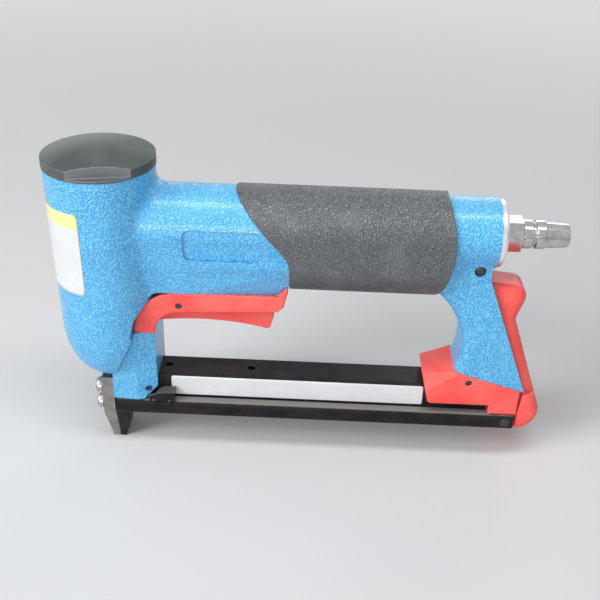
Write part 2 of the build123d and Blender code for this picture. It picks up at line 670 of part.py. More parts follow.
def body_casting():
    head = head_form()
    neck = neck_form()
    casting = head + neck
    casting = fillet(new_edges(head, neck, combined=casting), NECK_BLEND)
    casting -= head_cut()
    grip_zone = edge_slab([grip_rear_edge()], 0)
    casting += handle_prism(HANDLE_RADIUS, GRIP_TOP[0] - NECK_RADIUS, GRIP_REAR_MID[0]) & grip_zone
    casting += handle_end() - grip_zone
    casting += rod_x(GRIP_TOP[0], HANDLE_END_X, HANDLE_RADIUS - BORE_FIT, 0, HANDLE_Z)
    casting += tongue()
    casting += nose_block_form()
    casting -= trigger_bay()
    casting -= lip_corner()
    casting -= latch_pocket()
    for lug in both_sides(trigger_lug()):
        casting += lug
    for panel in both_sides(side_panel()):
        casting -= panel
    for bore in casting_bores():
        casting -= bore
    return casting


# Head cap and its seal

def seal_z(z, major, x=0.0):
    """O-ring about Z."""
    return Pos(x, 0, z) * Torus(major, SEAL_SECTION / 2)


def seal_groove_z(z, major, x=0.0):
    """Groove for an O-ring about Z, cut in from outside."""
    half = SEAL_SECTION / 2 + PIN_FIT
    return ring_z(z - half, z + half, major - half, major + SEAL_SECTION, x)


def head_cap():
    plug_z = HEAD_TOP_Z - CAP_PLUG_DEPTH
    dome_radius = (CAP_RADIUS**2 + CAP_DOME**2) / (2 * CAP_DOME)
    dome = Pos(0, 0, CAP_TOP_Z + CAP_DOME - dome_radius) * Sphere(dome_radius)
    crown = rod_z(HEAD_TOP_Z, CAP_TOP_Z + CAP_DOME, CAP_RADIUS) & dome
    flat_z = (HEAD_TOP_Z + CAP_RIM, CAP_TOP_Z + CAP_DOME)
    for side in both_sides(block((-CAP_RADIUS, CAP_RADIUS), (CAP_FLATS / 2, CAP_RADIUS), flat_z)):
        crown -= Rot(0, 0, CAP_TURN) * side
    cap = crown + rod_z(plug_z, HEAD_TOP_Z, HEAD_BORE_RADIUS - BORE_FIT)
    cap -= rod_z(plug_z, CAP_CAVITY_TOP_Z, CAP_CAVITY_RADIUS)
    guide_bore = VALVE_STEM_RADIUS + PIN_FIT
    guide = (CAP_CAVITY_TOP_Z - VALVE_GUIDE_LENGTH, CAP_CAVITY_TOP_Z)
    cap += ring_z(*guide, guide_bore, guide_bore + VALVE_GUIDE_WALL)
    return cap - seal_groove_z(CAP_SEAL_Z, CAP_SEAL_MAJOR)


def cap_seal():
    return seal_z(CAP_SEAL_Z, CAP_SEAL_MAJOR)


# Cylinder, piston and driver

def cylinder_sleeve():
    sleeve = rod_z(SLEEVE_FLOOR_Z, SLEEVE_TOP_Z, SLEEVE_RADIUS)
    sleeve += rod_z(SLEEVE_COLLAR_Z, SLEEVE_COLLAR_Z + SLEEVE_COLLAR_HEIGHT, HEAD_BORE_RADIUS - BORE_FIT)
    sleeve -= rod_z(SLEEVE_FLOOR_Z, SLEEVE_TOP_Z, SLEEVE_BORE_RADIUS)
    return sleeve - seal_groove_z(SLEEVE_SEAL_Z, CAP_SEAL_MAJOR)


def sleeve_seal():
    return seal_z(SLEEVE_SEAL_Z, CAP_SEAL_MAJOR)


def piston_bumper():
    top = SLEEVE_FLOOR_Z + BUMPER_HEIGHT
    return ring_z(SLEEVE_FLOOR_Z, top, BUMPER_HOLE_RADIUS, SLEEVE_BORE_RADIUS - BORE_FIT)


def piston():
    body = rod_z(PISTON_BOTTOM_Z, PISTON_TOP_Z, SLEEVE_BORE_RADIUS - PISTON_FIT)
    half_x = DRIVER_THICKNESS / 2 + PIN_FIT
    half_y = DRIVER_WIDTH / 2 + PIN_FIT
    slot_top = PISTON_BOTTOM_Z + DRIVER_ROOT + PIN_FIT
    body -= block((-half_x, half_x), (-half_y, half_y), (PISTON_BOTTOM_Z, slot_top))
    body -= rod_x(-DRIVER_PIN_REACH, DRIVER_PIN_REACH, DRIVER_PIN_RADIUS + PIN_FIT, 0, DRIVER_PIN_Z)
    return body - seal_groove_z(PISTON_RING_Z, PISTON_RING_MAJOR)


def piston_ring():
    return seal_z(PISTON_RING_Z, PISTON_RING_MAJOR)


def driver_blade():
    x = (-DRIVER_THICKNESS / 2, DRIVER_THICKNESS / 2)
    y = (-DRIVER_WIDTH / 2, DRIVER_WIDTH / 2)
    blade = block(x, y, (DRIVER_REST_Z, PISTON_BOTTOM_Z + DRIVER_ROOT))
    return blade - rod_x(*x, DRIVER_PIN_RADIUS + PIN_FIT, 0, DRIVER_PIN_Z)


def driver_pin():
    reach = DRIVER_PIN_REACH - PIN_FIT
    return rod_x(-reach, reach, DRIVER_PIN_RADIUS, 0, DRIVER_PIN_Z)


# Head valve

def head_valve():
    disc = rod_z(VALVE_DISC_Z, VALVE_DISC_TOP_Z, HEAD_BORE_RADIUS - MOVING_GAP)
    disc += rod_z(VALVE_DISC_TOP_Z, VALVE_STEM_TOP_Z, VALVE_STEM_RADIUS)
    seal = ring_z(
        VALVE_DISC_Z,
        VALVE_DISC_Z + VALVE_SEAL_HEIGHT,
        VALVE_SEAL_INNER - PIN_FIT,
        VALVE_SEAL_OUTER + PIN_FIT,
    )
    return disc - seal - seal_groove_z(VALVE_RING_Z, VALVE_RING_MAJOR)


def head_valve_seal():
    return ring_z(VALVE_DISC_Z, VALVE_DISC_Z + VALVE_SEAL_HEIGHT, VALVE_SEAL_INNER, VALVE_SEAL_OUTER)


def head_valve_ring():
    return seal_z(VALVE_RING_Z, VALVE_RING_MAJOR)


def head_valve_spring():
    return ring_z(VALVE_DISC_TOP_Z, CAP_CAVITY_TOP_Z, HEAD_SPRING_INNER, HEAD_SPRING_OUTER)


# Grip, end plug and air plug

def grip_sleeve():
    start = GRIP_TOP[0]
    end = GRIP_REAR_MID[0]
    sleeve = handle_prism(GRIP_RADIUS, start, end)
    sleeve -= handle_prism(HANDLE_RADIUS + BORE_FIT, start, end)
    sleeve &= edge_slab(grip_front_edge().edges(), HANDLE_END_X)
    return sleeve & edge_slab([grip_rear_edge()], 0)


def end_plug():
    plug = rod_x(PLUG_INNER_X, HANDLE_END_X, HANDLE_BORE_RADIUS - BORE_FIT, 0, HANDLE_Z)
    flange = rod_x(HANDLE_END_X, PLUG_FACE_X, PLUG_FLANGE_RADIUS, 0, HANDLE_Z)
    plug += chamfer(flange.edges().sort_by(Axis.X)[-1], PLUG_BEVEL)
    plug -= rod_x(PLUG_INNER_X, PLUG_FACE_X, AIR_BORE_RADIUS, 0, HANDLE_Z)
    thread_x = PLUG_FACE_X - AIR_THREAD_LENGTH - PIN_FIT
    plug -= rod_x(thread_x, PLUG_FACE_X, AIR_THREAD_RADIUS + PIN_FIT, 0, HANDLE_Z)
    plug -= rod_y(-STRUT_WIDTH, STRUT_WIDTH, PLUG_PIN_RADIUS + PIN_FIT, PLUG_PIN_X, PLUG_PIN_Z)
    half = SEAL_SECTION / 2 + PIN_FIT
    groove = ring_x(PLUG_SEAL_X - half, PLUG_SEAL_X + half, PLUG_SEAL_MAJOR - half, HANDLE_BORE_RADIUS, HANDLE_Z)
    return plug - groove


def end_plug_seal():
    return Pos(PLUG_SEAL_X, 0, HANDLE_Z) * Rot(0, 90, 0) * Torus(PLUG_SEAL_MAJOR, SEAL_SECTION / 2)


def end_plug_pin():
    reach = PLUG_PIN_LENGTH / 2
    pin = rod_y(-reach, reach, PLUG_PIN_RADIUS, PLUG_PIN_X, PLUG_PIN_Z)
    return fillet(pin.edges().filter_by(GeomType.CIRCLE), PLUG_PIN_ROUND)


def air_plug():
    plug = rod_x(PLUG_FACE_X - AIR_THREAD_LENGTH, PLUG_FACE_X, AIR_THREAD_RADIUS, 0, HANDLE_Z)
    hexagon = Plane.YZ.offset(PLUG_FACE_X) * Pos(0, HANDLE_Z) * RegularPolygon(AIR_HEX / 2, 6, major_radius=False)
    plug += extrude(hexagon, amount=AIR_HEX_LENGTH)
    collar_x = PLUG_FACE_X + AIR_HEX_LENGTH
    groove_x = collar_x + AIR_COLLAR_LENGTH
    second_x = groove_x + AIR_GROOVE_LENGTH
    tip_x = second_x + AIR_COLLAR_LENGTH
    for start in (collar_x, second_x):
        collar = rod_x(start, start + AIR_COLLAR_LENGTH, AIR_COLLAR_RADIUS, 0, HANDLE_Z)
        plug += chamfer(collar.edges().filter_by(GeomType.CIRCLE), AIR_EDGE)
    plug += rod_x(groove_x, second_x, AIR_GROOVE_RADIUS, 0, HANDLE_Z)
    tip = Cone(AIR_TIP_RADIUS, AIR_TIP_END_RADIUS, AIR_TIP_LENGTH)
    tip = fillet(tip.edges().filter_by(GeomType.CIRCLE).sort_by(Axis.Z)[-1], AIR_TIP_ROUND)
    plug += Pos(tip_x + AIR_TIP_LENGTH / 2, 0, HANDLE_Z) * Rot(0, 90, 0) * tip
    return plug - rod_x(PLUG_FACE_X - AIR_THREAD_LENGTH, tip_x + AIR_TIP_LENGTH, AIR_BORE_RADIUS, 0, HANDLE_Z)


# Trigger, its housing and the trigger valve

def trigger_housing():
    outer = CenterArc((ARCH_X, ARCH_Z), ARCH_OUTER, 90, 90)
    inner = CenterArc((ARCH_X, ARCH_Z), ARCH_INNER, 90, 90)
    top = Polyline(
        (ARCH_X, NECK_UNDER_Z),
        (HOUSING_REAR_X - HOUSING_BACK_WALL, NECK_UNDER_Z),
        (HOUSING_LIP_X, HOUSING_LIP_Z),
        (HOUSING_LIP_X, HOUSING_LIP_Z - HOUSING_BACK_WALL),
        (HOUSING_REAR_X, HOUSING_REAR_Z + HOUSING_BACK_WALL),
        (HOUSING_REAR_X - HOUSING_BACK_WALL, HOUSING_REAR_Z),
        (ARCH_X, ARCH_Z + ARCH_INNER),
    )
    foot = Line((ARCH_X - ARCH_OUTER, ARCH_Z), (ARCH_X - ARCH_INNER, ARCH_Z))
    housing = side_slab([outer, inner, *top.edges(), foot], HOUSING_WIDTH)
    cheek_y = HOUSING_WIDTH / 2
    rims = housing.edges().filter_by(lambda edge: abs(abs(edge.center().Y) - cheek_y) < PIN_FIT)
    housing = fillet(rims.filter_by(lambda edge: edge.center().Z > ARCH_Z + HOUSING_ROUND), HOUSING_ROUND)
    cavity_x = (0, HOUSING_REAR_X - HOUSING_BACK_WALL)
    housing -= block(cavity_x, (-CHEEK_INNER_Y, CHEEK_INNER_Y), (ARCH_Z, NECK_UNDER_Z))
    return housing - rod_y(-cheek_y, cheek_y, TRIGGER_PIN_RADIUS + PIN_FIT, ARCH_X, TRIGGER_PIN_Z)


def trigger_pin():
    reach = HOUSING_WIDTH / 2 - PIN_SINK
    return rod_y(-reach, reach, TRIGGER_PIN_RADIUS, ARCH_X, TRIGGER_PIN_Z)


def trigger():
    front = (TRIGGER_FRONT_X, TRIGGER_FRONT_Z)
    middle = ((TRIGGER_FRONT_X + TRIGGER_TIP_X) / 2, TRIGGER_MID_Z)
    toe = (TRIGGER_TIP_X - TRIGGER_TOE, TRIGGER_TIP_Z)
    finger = ThreePointArc(front, middle, toe)
    rest = Polyline(
        toe,
        (TRIGGER_TIP_X - TRIGGER_TOE / 2, TRIGGER_TIP_Z + TRIGGER_TOE / 4),
        (TRIGGER_TIP_X, TRIGGER_TIP_Z + TRIGGER_TOE * 2),
        (TRIGGER_TIP_X - TRIGGER_TOE / 4, TRIGGER_TOP_Z),
        (TRIGGER_FRONT_X + TRIGGER_TOE / 4, TRIGGER_TOP_Z),
        front,
    )
    body = side_slab([finger, *rest.edges()], TRIGGER_WIDTH)
    body = fillet(body.edges().filter_by(GeomType.CIRCLE), TRIGGER_ROUND)
    half = TRIGGER_WIDTH / 2
    body += rod_y(-half, half, TRIGGER_HUB_RADIUS, ARCH_X, TRIGGER_PIN_Z)
    return body - rod_y(-half, half, TRIGGER_PIN_RADIUS + PIN_FIT, ARCH_X, TRIGGER_PIN_Z)


def valve_bushing():
    bushing = rod_z(TRIGGER_VALVE_FOOT_Z, TRIGGER_VALVE_TOP_Z, TRIGGER_VALVE_RADIUS, TRIGGER_VALVE_X)
    bore = TRIGGER_STEM_RADIUS + PIN_FIT
    bushing -= rod_z(TRIGGER_VALVE_FOOT_Z, TRIGGER_VALVE_TOP_Z, bore, TRIGGER_VALVE_X)
    bushing -= rod_z(TRIGGER_CHAMBER_Z, TRIGGER_ROOF_Z, TRIGGER_VALVE_CHAMBER, TRIGGER_VALVE_X)
    half = VALVE_SEAL_SECTION / 2 + PIN_FIT
    for z in VALVE_SEALS_Z:
        inner = TRIGGER_VALVE_RADIUS - VALVE_SEAL_SECTION
        bushing -= ring_z(z - half, z + half, inner, 2 * TRIGGER_VALVE_RADIUS, TRIGGER_VALVE_X)
    return bushing


def valve_bushing_seals():
    major = TRIGGER_VALVE_RADIUS - VALVE_SEAL_SECTION / 2 + PIN_FIT / 2
    return Compound([Pos(TRIGGER_VALVE_X, 0, z) * Torus(major, VALVE_SEAL_SECTION / 2) for z in VALVE_SEALS_Z])


def valve_stem():
    ball_z = TRIGGER_STEM_FOOT_Z + TRIGGER_STEM_RADIUS
    stem = Pos(TRIGGER_VALVE_X, 0, ball_z) * Sphere(TRIGGER_STEM_RADIUS)
    stem += rod_z(ball_z, TRIGGER_HEAD_Z, TRIGGER_STEM_RADIUS, TRIGGER_VALVE_X)
    head_top = TRIGGER_HEAD_Z + TRIGGER_STEM_HEAD_HEIGHT
    return stem + rod_z(TRIGGER_HEAD_Z, head_top, TRIGGER_STEM_HEAD, TRIGGER_VALVE_X)


def valve_spring():
    foot = TRIGGER_HEAD_Z + TRIGGER_STEM_HEAD_HEIGHT
    return ring_z(foot, TRIGGER_ROOF_Z, TRIGGER_SPRING_INNER, TRIGGER_SPRING_OUTER, TRIGGER_VALVE_X)


# Nose plates and screws

def nose_outline(start, end):
    """Front view of the nose plates, narrower at the tip."""
    half = NOSE_WIDTH / 2
    tip = NOSE_TIP_WIDTH / 2
    right = [(half, HEAD_BOTTOM_Z), (half, NOSE_TAPER_Z), (tip, NOSE_TIP_FLAT_Z), (tip, 0)]
    left = [(-y, z) for y, z in reversed(right)]
    return front_slab(right + left, start, end)


def nose_screw_places():
    """Y and Z of the lower and the upper pair of nose screws."""
    half = NOSE_SCREW_SPREAD / 2
    lower = [(-half, NOSE_SCREW_Z), (half, NOSE_SCREW_Z)]
    upper = [(y, z + NOSE_SCREW_PITCH) for y, z in lower]
    return lower, upper


def nose_screw_holes():
    lower, upper = nose_screw_places()
    radius = NOSE_SCREW_RADIUS + PIN_FIT
    return [rod_x(FRONT_PLATE_X, NOSE_PLANE_X, radius, y, z) for y, z in lower + upper]


def nose_front_plate():
    plate = nose_outline(FRONT_PLATE_X, GUIDE_FRONT_X)
    bevel = [
        (FRONT_PLATE_X, FRONT_BEVEL_Z),
        (GUIDE_FRONT_X - FRONT_PLATE_TIP, 0),
        (FRONT_PLATE_X, 0),
    ]
    plate -= polygon_slab(bevel, 2 * NOSE_WIDTH)
    for hole in nose_screw_holes():
        plate -= hole
    return plate


def drive_guide():
    guide = nose_outline(GUIDE_FRONT_X, NOSE_PLANE_X)
    half = DRIVER_WIDTH / 2 + SLIDE_FIT
    guide -= block((NOSE_PLANE_X - DRIVE_SLOT_DEPTH, NOSE_PLANE_X), (-half, half), (0, HEAD_BOTTOM_Z))
    for hole in nose_screw_holes():
        guide -= hole
    return guide


def nose_screw(y, z, end):
    """Slotted pan-head screw along X."""
    head = rod_x(FRONT_PLATE_X - NOSE_SCREW_HEAD_HEIGHT, FRONT_PLATE_X, NOSE_SCREW_HEAD_RADIUS, y, z)
    head = fillet(head.edges().filter_by(GeomType.CIRCLE).sort_by(Axis.X)[0], NOSE_SCREW_HEAD_HEIGHT / 2)
    slot_x = FRONT_PLATE_X - NOSE_SCREW_HEAD_HEIGHT
    reach = NOSE_SCREW_HEAD_RADIUS
    half = NOSE_SCREW_SLOT / 2
    head -= block((slot_x, slot_x + NOSE_SCREW_SLOT), (y - reach, y + reach), (z - half, z + half))
    return head + rod_x(FRONT_PLATE_X, end, NOSE_SCREW_RADIUS, y, z)


def nose_screws_long():
    end = NOSE_PLANE_X + NOSE_SCREW_DEPTH - MOVING_GAP
    return Compound([nose_screw(y, z, end) for y, z in nose_screw_places()[1]])


def nose_screws_short():
    return Compound([nose_screw(y, z, NOSE_PLANE_X) for y, z in nose_screw_places()[0]])


# Fixed magazine

def fixed_magazine():
    x = (MAGAZINE_FRONT_X, MAGAZINE_REAR_X)
    half = MAGAZINE_WIDTH / 2
    inner = half - SHEET
    foot = FLANGE_TOP_Z - SHEET
    hat = block(x, (-half, half), (foot, MAGAZINE_TOP_Z))
    hat = fillet(hat.edges().filter_by(Axis.X).group_by(Axis.Z)[-1], MAGAZINE_BEND)
    hat -= block(x, (-inner, inner), (foot, MAGAZINE_ROOF_Z))
    for flange in both_sides(block(x, (inner, half + FLANGE_WIDTH), (foot, FLANGE_TOP_Z))):
        hat += flange
    heel_x = (MAGAZINE_REAR_X, TAIL_STEP_X - MOVING_GAP)
    for heel in both_sides(block(heel_x, (inner, half), (foot, MAGAZINE_HEEL_Z))):
        hat += heel
    for hole_x in (MAGAZINE_HOLE_X, MAGAZINE_HOLE_X + MAGAZINE_HOLE_PITCH):
        hat -= rod_z(MAGAZINE_ROOF_Z, MAGAZINE_TOP_Z, MAGAZINE_HOLE_RADIUS, hole_x)
    return hat - rod_y(-half, half, BLOCK_PIN_RADIUS + PIN_FIT, BLOCK_PIN_X, BLOCK_PIN_Z)


def magazine_pins():
    inner = MAGAZINE_WIDTH / 2 - SHEET
    return Compound(both_sides(rod_y(inner, inner + BLOCK_PIN_LENGTH, BLOCK_PIN_RADIUS, BLOCK_PIN_X, BLOCK_PIN_Z)))


# Tail seat

def tail_form():
    """Outside of the tail: a saddle in front whose sides lean in, and a foot under the strut."""
    rear_z = STRUT_FOOT_REAR[1] + (STRUT_FOOT_REAR[0] - TAIL_REAR_X) * STRUT_FOOT_SLOPE
    low_z = SLIDE_TOP_Z + SLIDE_FIT
    saddle = ThreePointArc(TAIL_FRONT_TOP, TAIL_TOP_MID, STRUT_FOOT_FRONT)
    rest = Polyline(
        STRUT_FOOT_FRONT,
        (TAIL_REAR_X, rear_z),
        (TAIL_REAR_X, low_z),
        (TAIL_STEP_X, low_z),
        (TAIL_STEP_X, TAIL_FRONT_FOOT[1]),
        TAIL_FRONT_FOOT,
        TAIL_FRONT_TOP,
    )
    half = TAIL_WIDTH / 2
    form = trim_sides(
        side_slab([saddle, *rest.edges()], TAIL_WIDTH),
        (TAIL_CREASE_FRONT[0], half, TAIL_CREASE_FRONT[1]),
        (TAIL_CREASE_REAR[0], half, TAIL_CREASE_REAR[1]),
        (TAIL_FRONT_TOP[0], half - TAIL_LEAN, TAIL_FRONT_TOP[1]),
    )
    front_edges = form.edges().filter_by(lambda edge: edge.center().X < TAIL_CREASE_FRONT[0])
    front_edges = front_edges.filter_by(lambda edge: abs(edge.center().Y) > half - TAIL_LEAN)
    return fillet(front_edges, TAIL_ROUND)


def tail_seat():
    seat = tail_form()
    low_z = SLIDE_TOP_Z + SLIDE_FIT
    slot_y = MAGAZINE_WIDTH / 2 + BORE_FIT
    roof = MAGAZINE_TOP_Z + BORE_FIT
    cavity_y = TAIL_CAVITY_WIDTH / 2
    seat -= block((0, MAGAZINE_REAR_X + SLIDE_FIT), (-slot_y, slot_y), (low_z, roof))
    seat -= block((MAGAZINE_REAR_X, TAIL_REAR_X), (-cavity_y, cavity_y), (low_z, roof))
    catch = block(
        (LATCH_CATCH_X, LATCH_CATCH_X + TAIL_CATCH_LENGTH),
        (LATCH_ARM_INSET - BORE_FIT, cavity_y),
        (LATCH_BARB_Z - LATCH_BITE, roof),
    )
    for side in both_sides(catch):
        seat += side
    seat -= latch_pocket()
    seat -= tongue(BORE_FIT)
    return seat - rod_y(-TAIL_WIDTH, TAIL_WIDTH, TAIL_PIN_RADIUS + PIN_FIT, TAIL_PIN_X, TAIL_PIN_Z)


def tail_pin():
    reach = TAIL_WIDTH / 2 - PIN_SINK
    return rod_y(-reach, reach, TAIL_PIN_RADIUS, TAIL_PIN_X, TAIL_PIN_Z)


# Loading slide

def slide_channel():
    x = (SLIDE_FRONT_X, SLIDE_REAR_X)
    half = SLIDE_WIDTH / 2
    inner = half - SHEET
    channel = block(x, (-half, half), (SLIDE_BOTTOM_Z, SLIDE_TOP_Z))
    channel = fillet(channel.edges().filter_by(Axis.X), SLIDE_BEND)
    channel -= block(x, (-inner, inner), (SLIDE_FLOOR_Z, SLIDE_TOP_Z - SHEET))
    channel -= block(x, (-LIP_INNER_Y, LIP_INNER_Y), (SLIDE_TOP_Z - SHEET, SLIDE_TOP_Z))
    channel -= block((SLIDE_OPEN_X, SLIDE_REAR_X), (-inner, inner), (SLIDE_BOTTOM_Z, SLIDE_TOP_Z))
    channel -= rod_y(-half, half, LATCH_PIN_RADIUS + PIN_FIT, *LATCH_PIVOT)
    for screw_x in CORE_SCREWS_X:
        channel -= rod_z(SLIDE_BOTTOM_Z, SLIDE_FLOOR_Z, CORE_SCREW_RADIUS + PIN_FIT, screw_x)
    return channel


def staple_core():
    x = (INNER_NOSE_X, MAGAZINE_REAR_X)
    half = CORE_WIDTH / 2
    inner = half - SHEET
    core = block(x, (-half, half), (SLIDE_FLOOR_Z, CORE_TOP_Z))
    hollow_x = (INNER_NOSE_X + CORE_FRONT_PLUG, MAGAZINE_REAR_X - CORE_PLUG)
    core -= block(hollow_x, (-inner, inner), (SLIDE_FLOOR_Z, CORE_TOP_Z - SHEET))
    slot_x = (CORE_SLOT_FRONT_X, CORE_SLOT_FRONT_X + CORE_SLOT_LENGTH)
    core -= block(slot_x, (-CORE_SLOT / 2, CORE_SLOT / 2), (CORE_TOP_Z - SHEET, CORE_TOP_Z))
    core -= rod_x(ROD_START_X - PIN_FIT, ROD_END_X + PIN_FIT, ROD_RADIUS + PIN_FIT, 0, ROD_Z)
    for screw_x in CORE_SCREWS_X:
        core -= rod_z(SLIDE_FLOOR_Z, CORE_SCREW_TOP_Z, CORE_SCREW_RADIUS + PIN_FIT, screw_x)
    return core


def inner_nose():
    rear_x = INNER_NOSE_X + INNER_NOSE_LENGTH
    outline = [
        (INNER_NOSE_X, 0),
        (INNER_NOSE_X + INNER_NOSE_TIP_LENGTH, 0),
        (rear_x, INNER_NOSE_TAPER_Z),
        (rear_x, SLIDE_BOTTOM_Z),
        (INNER_NOSE_X, SLIDE_BOTTOM_Z),
    ]
    nose = polygon_slab(outline, 2 * NOSE_WIDTH)
    return nose & nose_outline(INNER_NOSE_X, rear_x)


def core_screws():
    screws = []
    for screw_x in CORE_SCREWS_X:
        head_z = SLIDE_BOTTOM_Z - CORE_SCREW_HEAD_HEIGHT
        screw = rod_z(head_z, SLIDE_BOTTOM_Z, CORE_SCREW_HEAD_RADIUS, screw_x)
        screw += rod_z(SLIDE_BOTTOM_Z, CORE_SCREW_TOP_Z - PIN_FIT, CORE_SCREW_RADIUS, screw_x)
        screws.append(screw)
    return Compound(screws)


def guide_rod():
    return rod_x(ROD_START_X, ROD_END_X, ROD_RADIUS, 0, ROD_Z)


def pusher():
    x = (PUSHER_FRONT_X, PUSHER_FRONT_X + PUSHER_LENGTH)
    inner_y = CORE_WIDTH / 2 + MOVING_GAP / 2
    outer_y = inner_y + PUSHER_SHEET
    inner_z = CORE_TOP_Z + MOVING_GAP / 2
    saddle = block(x, (-outer_y, outer_y), (PUSHER_FOOT_Z, inner_z + PUSHER_SHEET / 2))
    saddle -= block(x, (-inner_y, inner_y), (PUSHER_FOOT_Z, inner_z))
    tongue_x = (PUSHER_TONGUE_X, PUSHER_TONGUE_X + PUSHER_TONGUE_LENGTH)
    half = PUSHER_TONGUE_WIDTH / 2
    saddle += block(tongue_x, (-half, half), (ROD_Z, inner_z))
    saddle += rod_x(*tongue_x, PUSHER_RING_RADIUS, 0, ROD_Z)
    return saddle - rod_x(*tongue_x, ROD_RADIUS + PIN_FIT, 0, ROD_Z)


def pusher_spring():
    start = PUSHER_TONGUE_X + PUSHER_TONGUE_LENGTH
    end = MAGAZINE_REAR_X - CORE_PLUG
    return ring_x(start, end, ROD_RADIUS + SLIDE_FIT, PUSHER_SPRING_RADIUS, ROD_Z)


def guide_clip():
    """Folded clip on one side of the slide: an upright rim and a plate over it, pointed in front."""
    outer = SLIDE_WIDTH / 2
    rim_z = SLIDE_TOP_Z + CLIP_RIM
    top = SLIDE_TOP_Z + CLIP_HEIGHT
    inner = LIP_INNER_Y
    section = [
        (outer, SLIDE_TOP_Z),
        (outer, rim_z),
        (inner, top),
        (inner, top - CLIP_SHEET),
        (outer - CLIP_SHEET, rim_z - CLIP_SHEET),
        (outer - CLIP_SHEET, SLIDE_TOP_Z),
    ]
    clip = front_slab(section, CLIP_FRONT_X, CLIP_REAR_X)
    point = [
        (CLIP_FRONT_X, SLIDE_TOP_Z + CLIP_NOSE_HEIGHT),
        (CLIP_FRONT_X + CLIP_SLOPE_LENGTH, top),
        (CLIP_FRONT_X, top),
    ]
    clip -= polygon_slab(point, 2 * SLIDE_WIDTH)
    prong_z = (SLIDE_TOP_Z - CLIP_PRONG_DROP, SLIDE_TOP_Z + CLIP_PRONG_RISE)
    for prong_x in (CLIP_FRONT_X + CLIP_PRONG_INSET, CLIP_REAR_X - CLIP_PRONG_INSET - CLIP_PRONG_WIDTH):
        clip += block((prong_x, prong_x + CLIP_PRONG_WIDTH), (outer, outer + CLIP_SHEET), prong_z)
    return clip


def guide_clips():
    return Compound(both_sides(guide_clip()))


# Latch lever

def on_latch_back(edge):
    """True for the lever's side edges that face away from the strut."""
    middle = edge.center()
    front_x = on_line(LATCH_TOP_FRONT, LATCH_FRONT_FOOT, middle.Z)
    return abs(middle.Y) > LATCH_WIDTH / 2 - PIN_FIT and middle.X > front_x + LATCH_ROUND


def latch_lever():
    rear = FilletPolyline(
        LATCH_TOP_FRONT,
        LATCH_THUMB,
        LATCH_WAIST,
        LATCH_BULB_TOP,
        radius=LATCH_BACK_RADIUS,
    )
    shank = Vector(*LATCH_BULB_TOP) - Vector(*LATCH_WAIST)
    bulb_curve = TangentArc(LATCH_BULB_TOP, LATCH_BULB_FOOT, tangent=shank)
    front = Polyline(
        LATCH_BULB_FOOT,
        LATCH_WEB_FOOT,
        LATCH_WEB_TOP,
        LATCH_THROAT,
        LATCH_FRONT_FOOT,
        LATCH_TOP_FRONT,
    )
    lever = side_slab([*rear.edges(), bulb_curve, *front.edges()], LATCH_WIDTH)
    lever = fillet(lever.edges().filter_by(on_latch_back), LATCH_ROUND)
    shoulder_z = LATCH_BULB_SHOULDER[1]
    bulb_rest = Polyline(
        LATCH_BULB_FOOT,
        (LATCH_BULB_FOOT[0] + SLIDE_FIT * 2, SLIDE_TOP_Z),
        LATCH_BULB_SHOULDER,
        (on_line(LATCH_WAIST, LATCH_BULB_TOP, shoulder_z), shoulder_z),
        LATCH_BULB_TOP,
    )
    bulb = side_slab([bulb_curve, *bulb_rest.edges()], LATCH_BULB_WIDTH)
    bulb_edges = bulb.edges().filter_by(GeomType.CIRCLE)
    lever += fillet(bulb_edges, LATCH_BULB_ROUND)
    half = LATCH_BULB_WIDTH / 2
    lever += rod_y(-half, half, LATCH_HUB_RADIUS, *LATCH_PIVOT)
    for arm in both_sides(latch_arm()):
        lever += arm
    spring_room = LATCH_SPRING_WIDTH / 2 + BORE_FIT
    lever -= rod_y(-spring_room, spring_room, LATCH_SPRING_RADIUS + MOVING_GAP, *LATCH_PIVOT)
    return lever - rod_y(-half, half, LATCH_PIN_RADIUS + PIN_FIT, *LATCH_PIVOT)


def latch_arm():
    """Flat arm with an upward barb that hooks behind the tail's catch."""
    rear_x = LATCH_ARM_TIP_X + LATCH_BARB_LENGTH
    slope = LATCH_BARB_LENGTH / 4
    outline = [
        (LATCH_ARM_TIP_X, LATCH_ARM_FOOT_Z),
        (LATCH_ARM_TIP_X, LATCH_BARB_Z - LATCH_BARB_LENGTH / 2),
        (LATCH_ARM_TIP_X + slope, LATCH_BARB_Z),
        (rear_x, LATCH_BARB_Z),
        (rear_x, LATCH_BARB_Z - LATCH_BARB_LENGTH),
        (LATCH_PIVOT[0], LATCH_WEB_TOP[1]),
        (LATCH_PIVOT[0], LATCH_PIVOT[1] - LATCH_HUB_RADIUS),
    ]
    arm = make_face(Polyline(*outline, close=True))
    return extrude(Plane.XZ.offset(-LATCH_ARM_INSET) * arm, amount=-LATCH_ARM_WIDTH)


def latch_pin():
    reach = SLIDE_WIDTH / 2
    return rod_y(-reach, reach, LATCH_PIN_RADIUS, *LATCH_PIVOT)


def latch_spring():
    half = LATCH_SPRING_WIDTH / 2
    coil = rod_y(-half, half, LATCH_SPRING_RADIUS, *LATCH_PIVOT)
    return coil - rod_y(-half, half, LATCH_PIN_RADIUS + SLIDE_FIT, *LATCH_PIVOT)


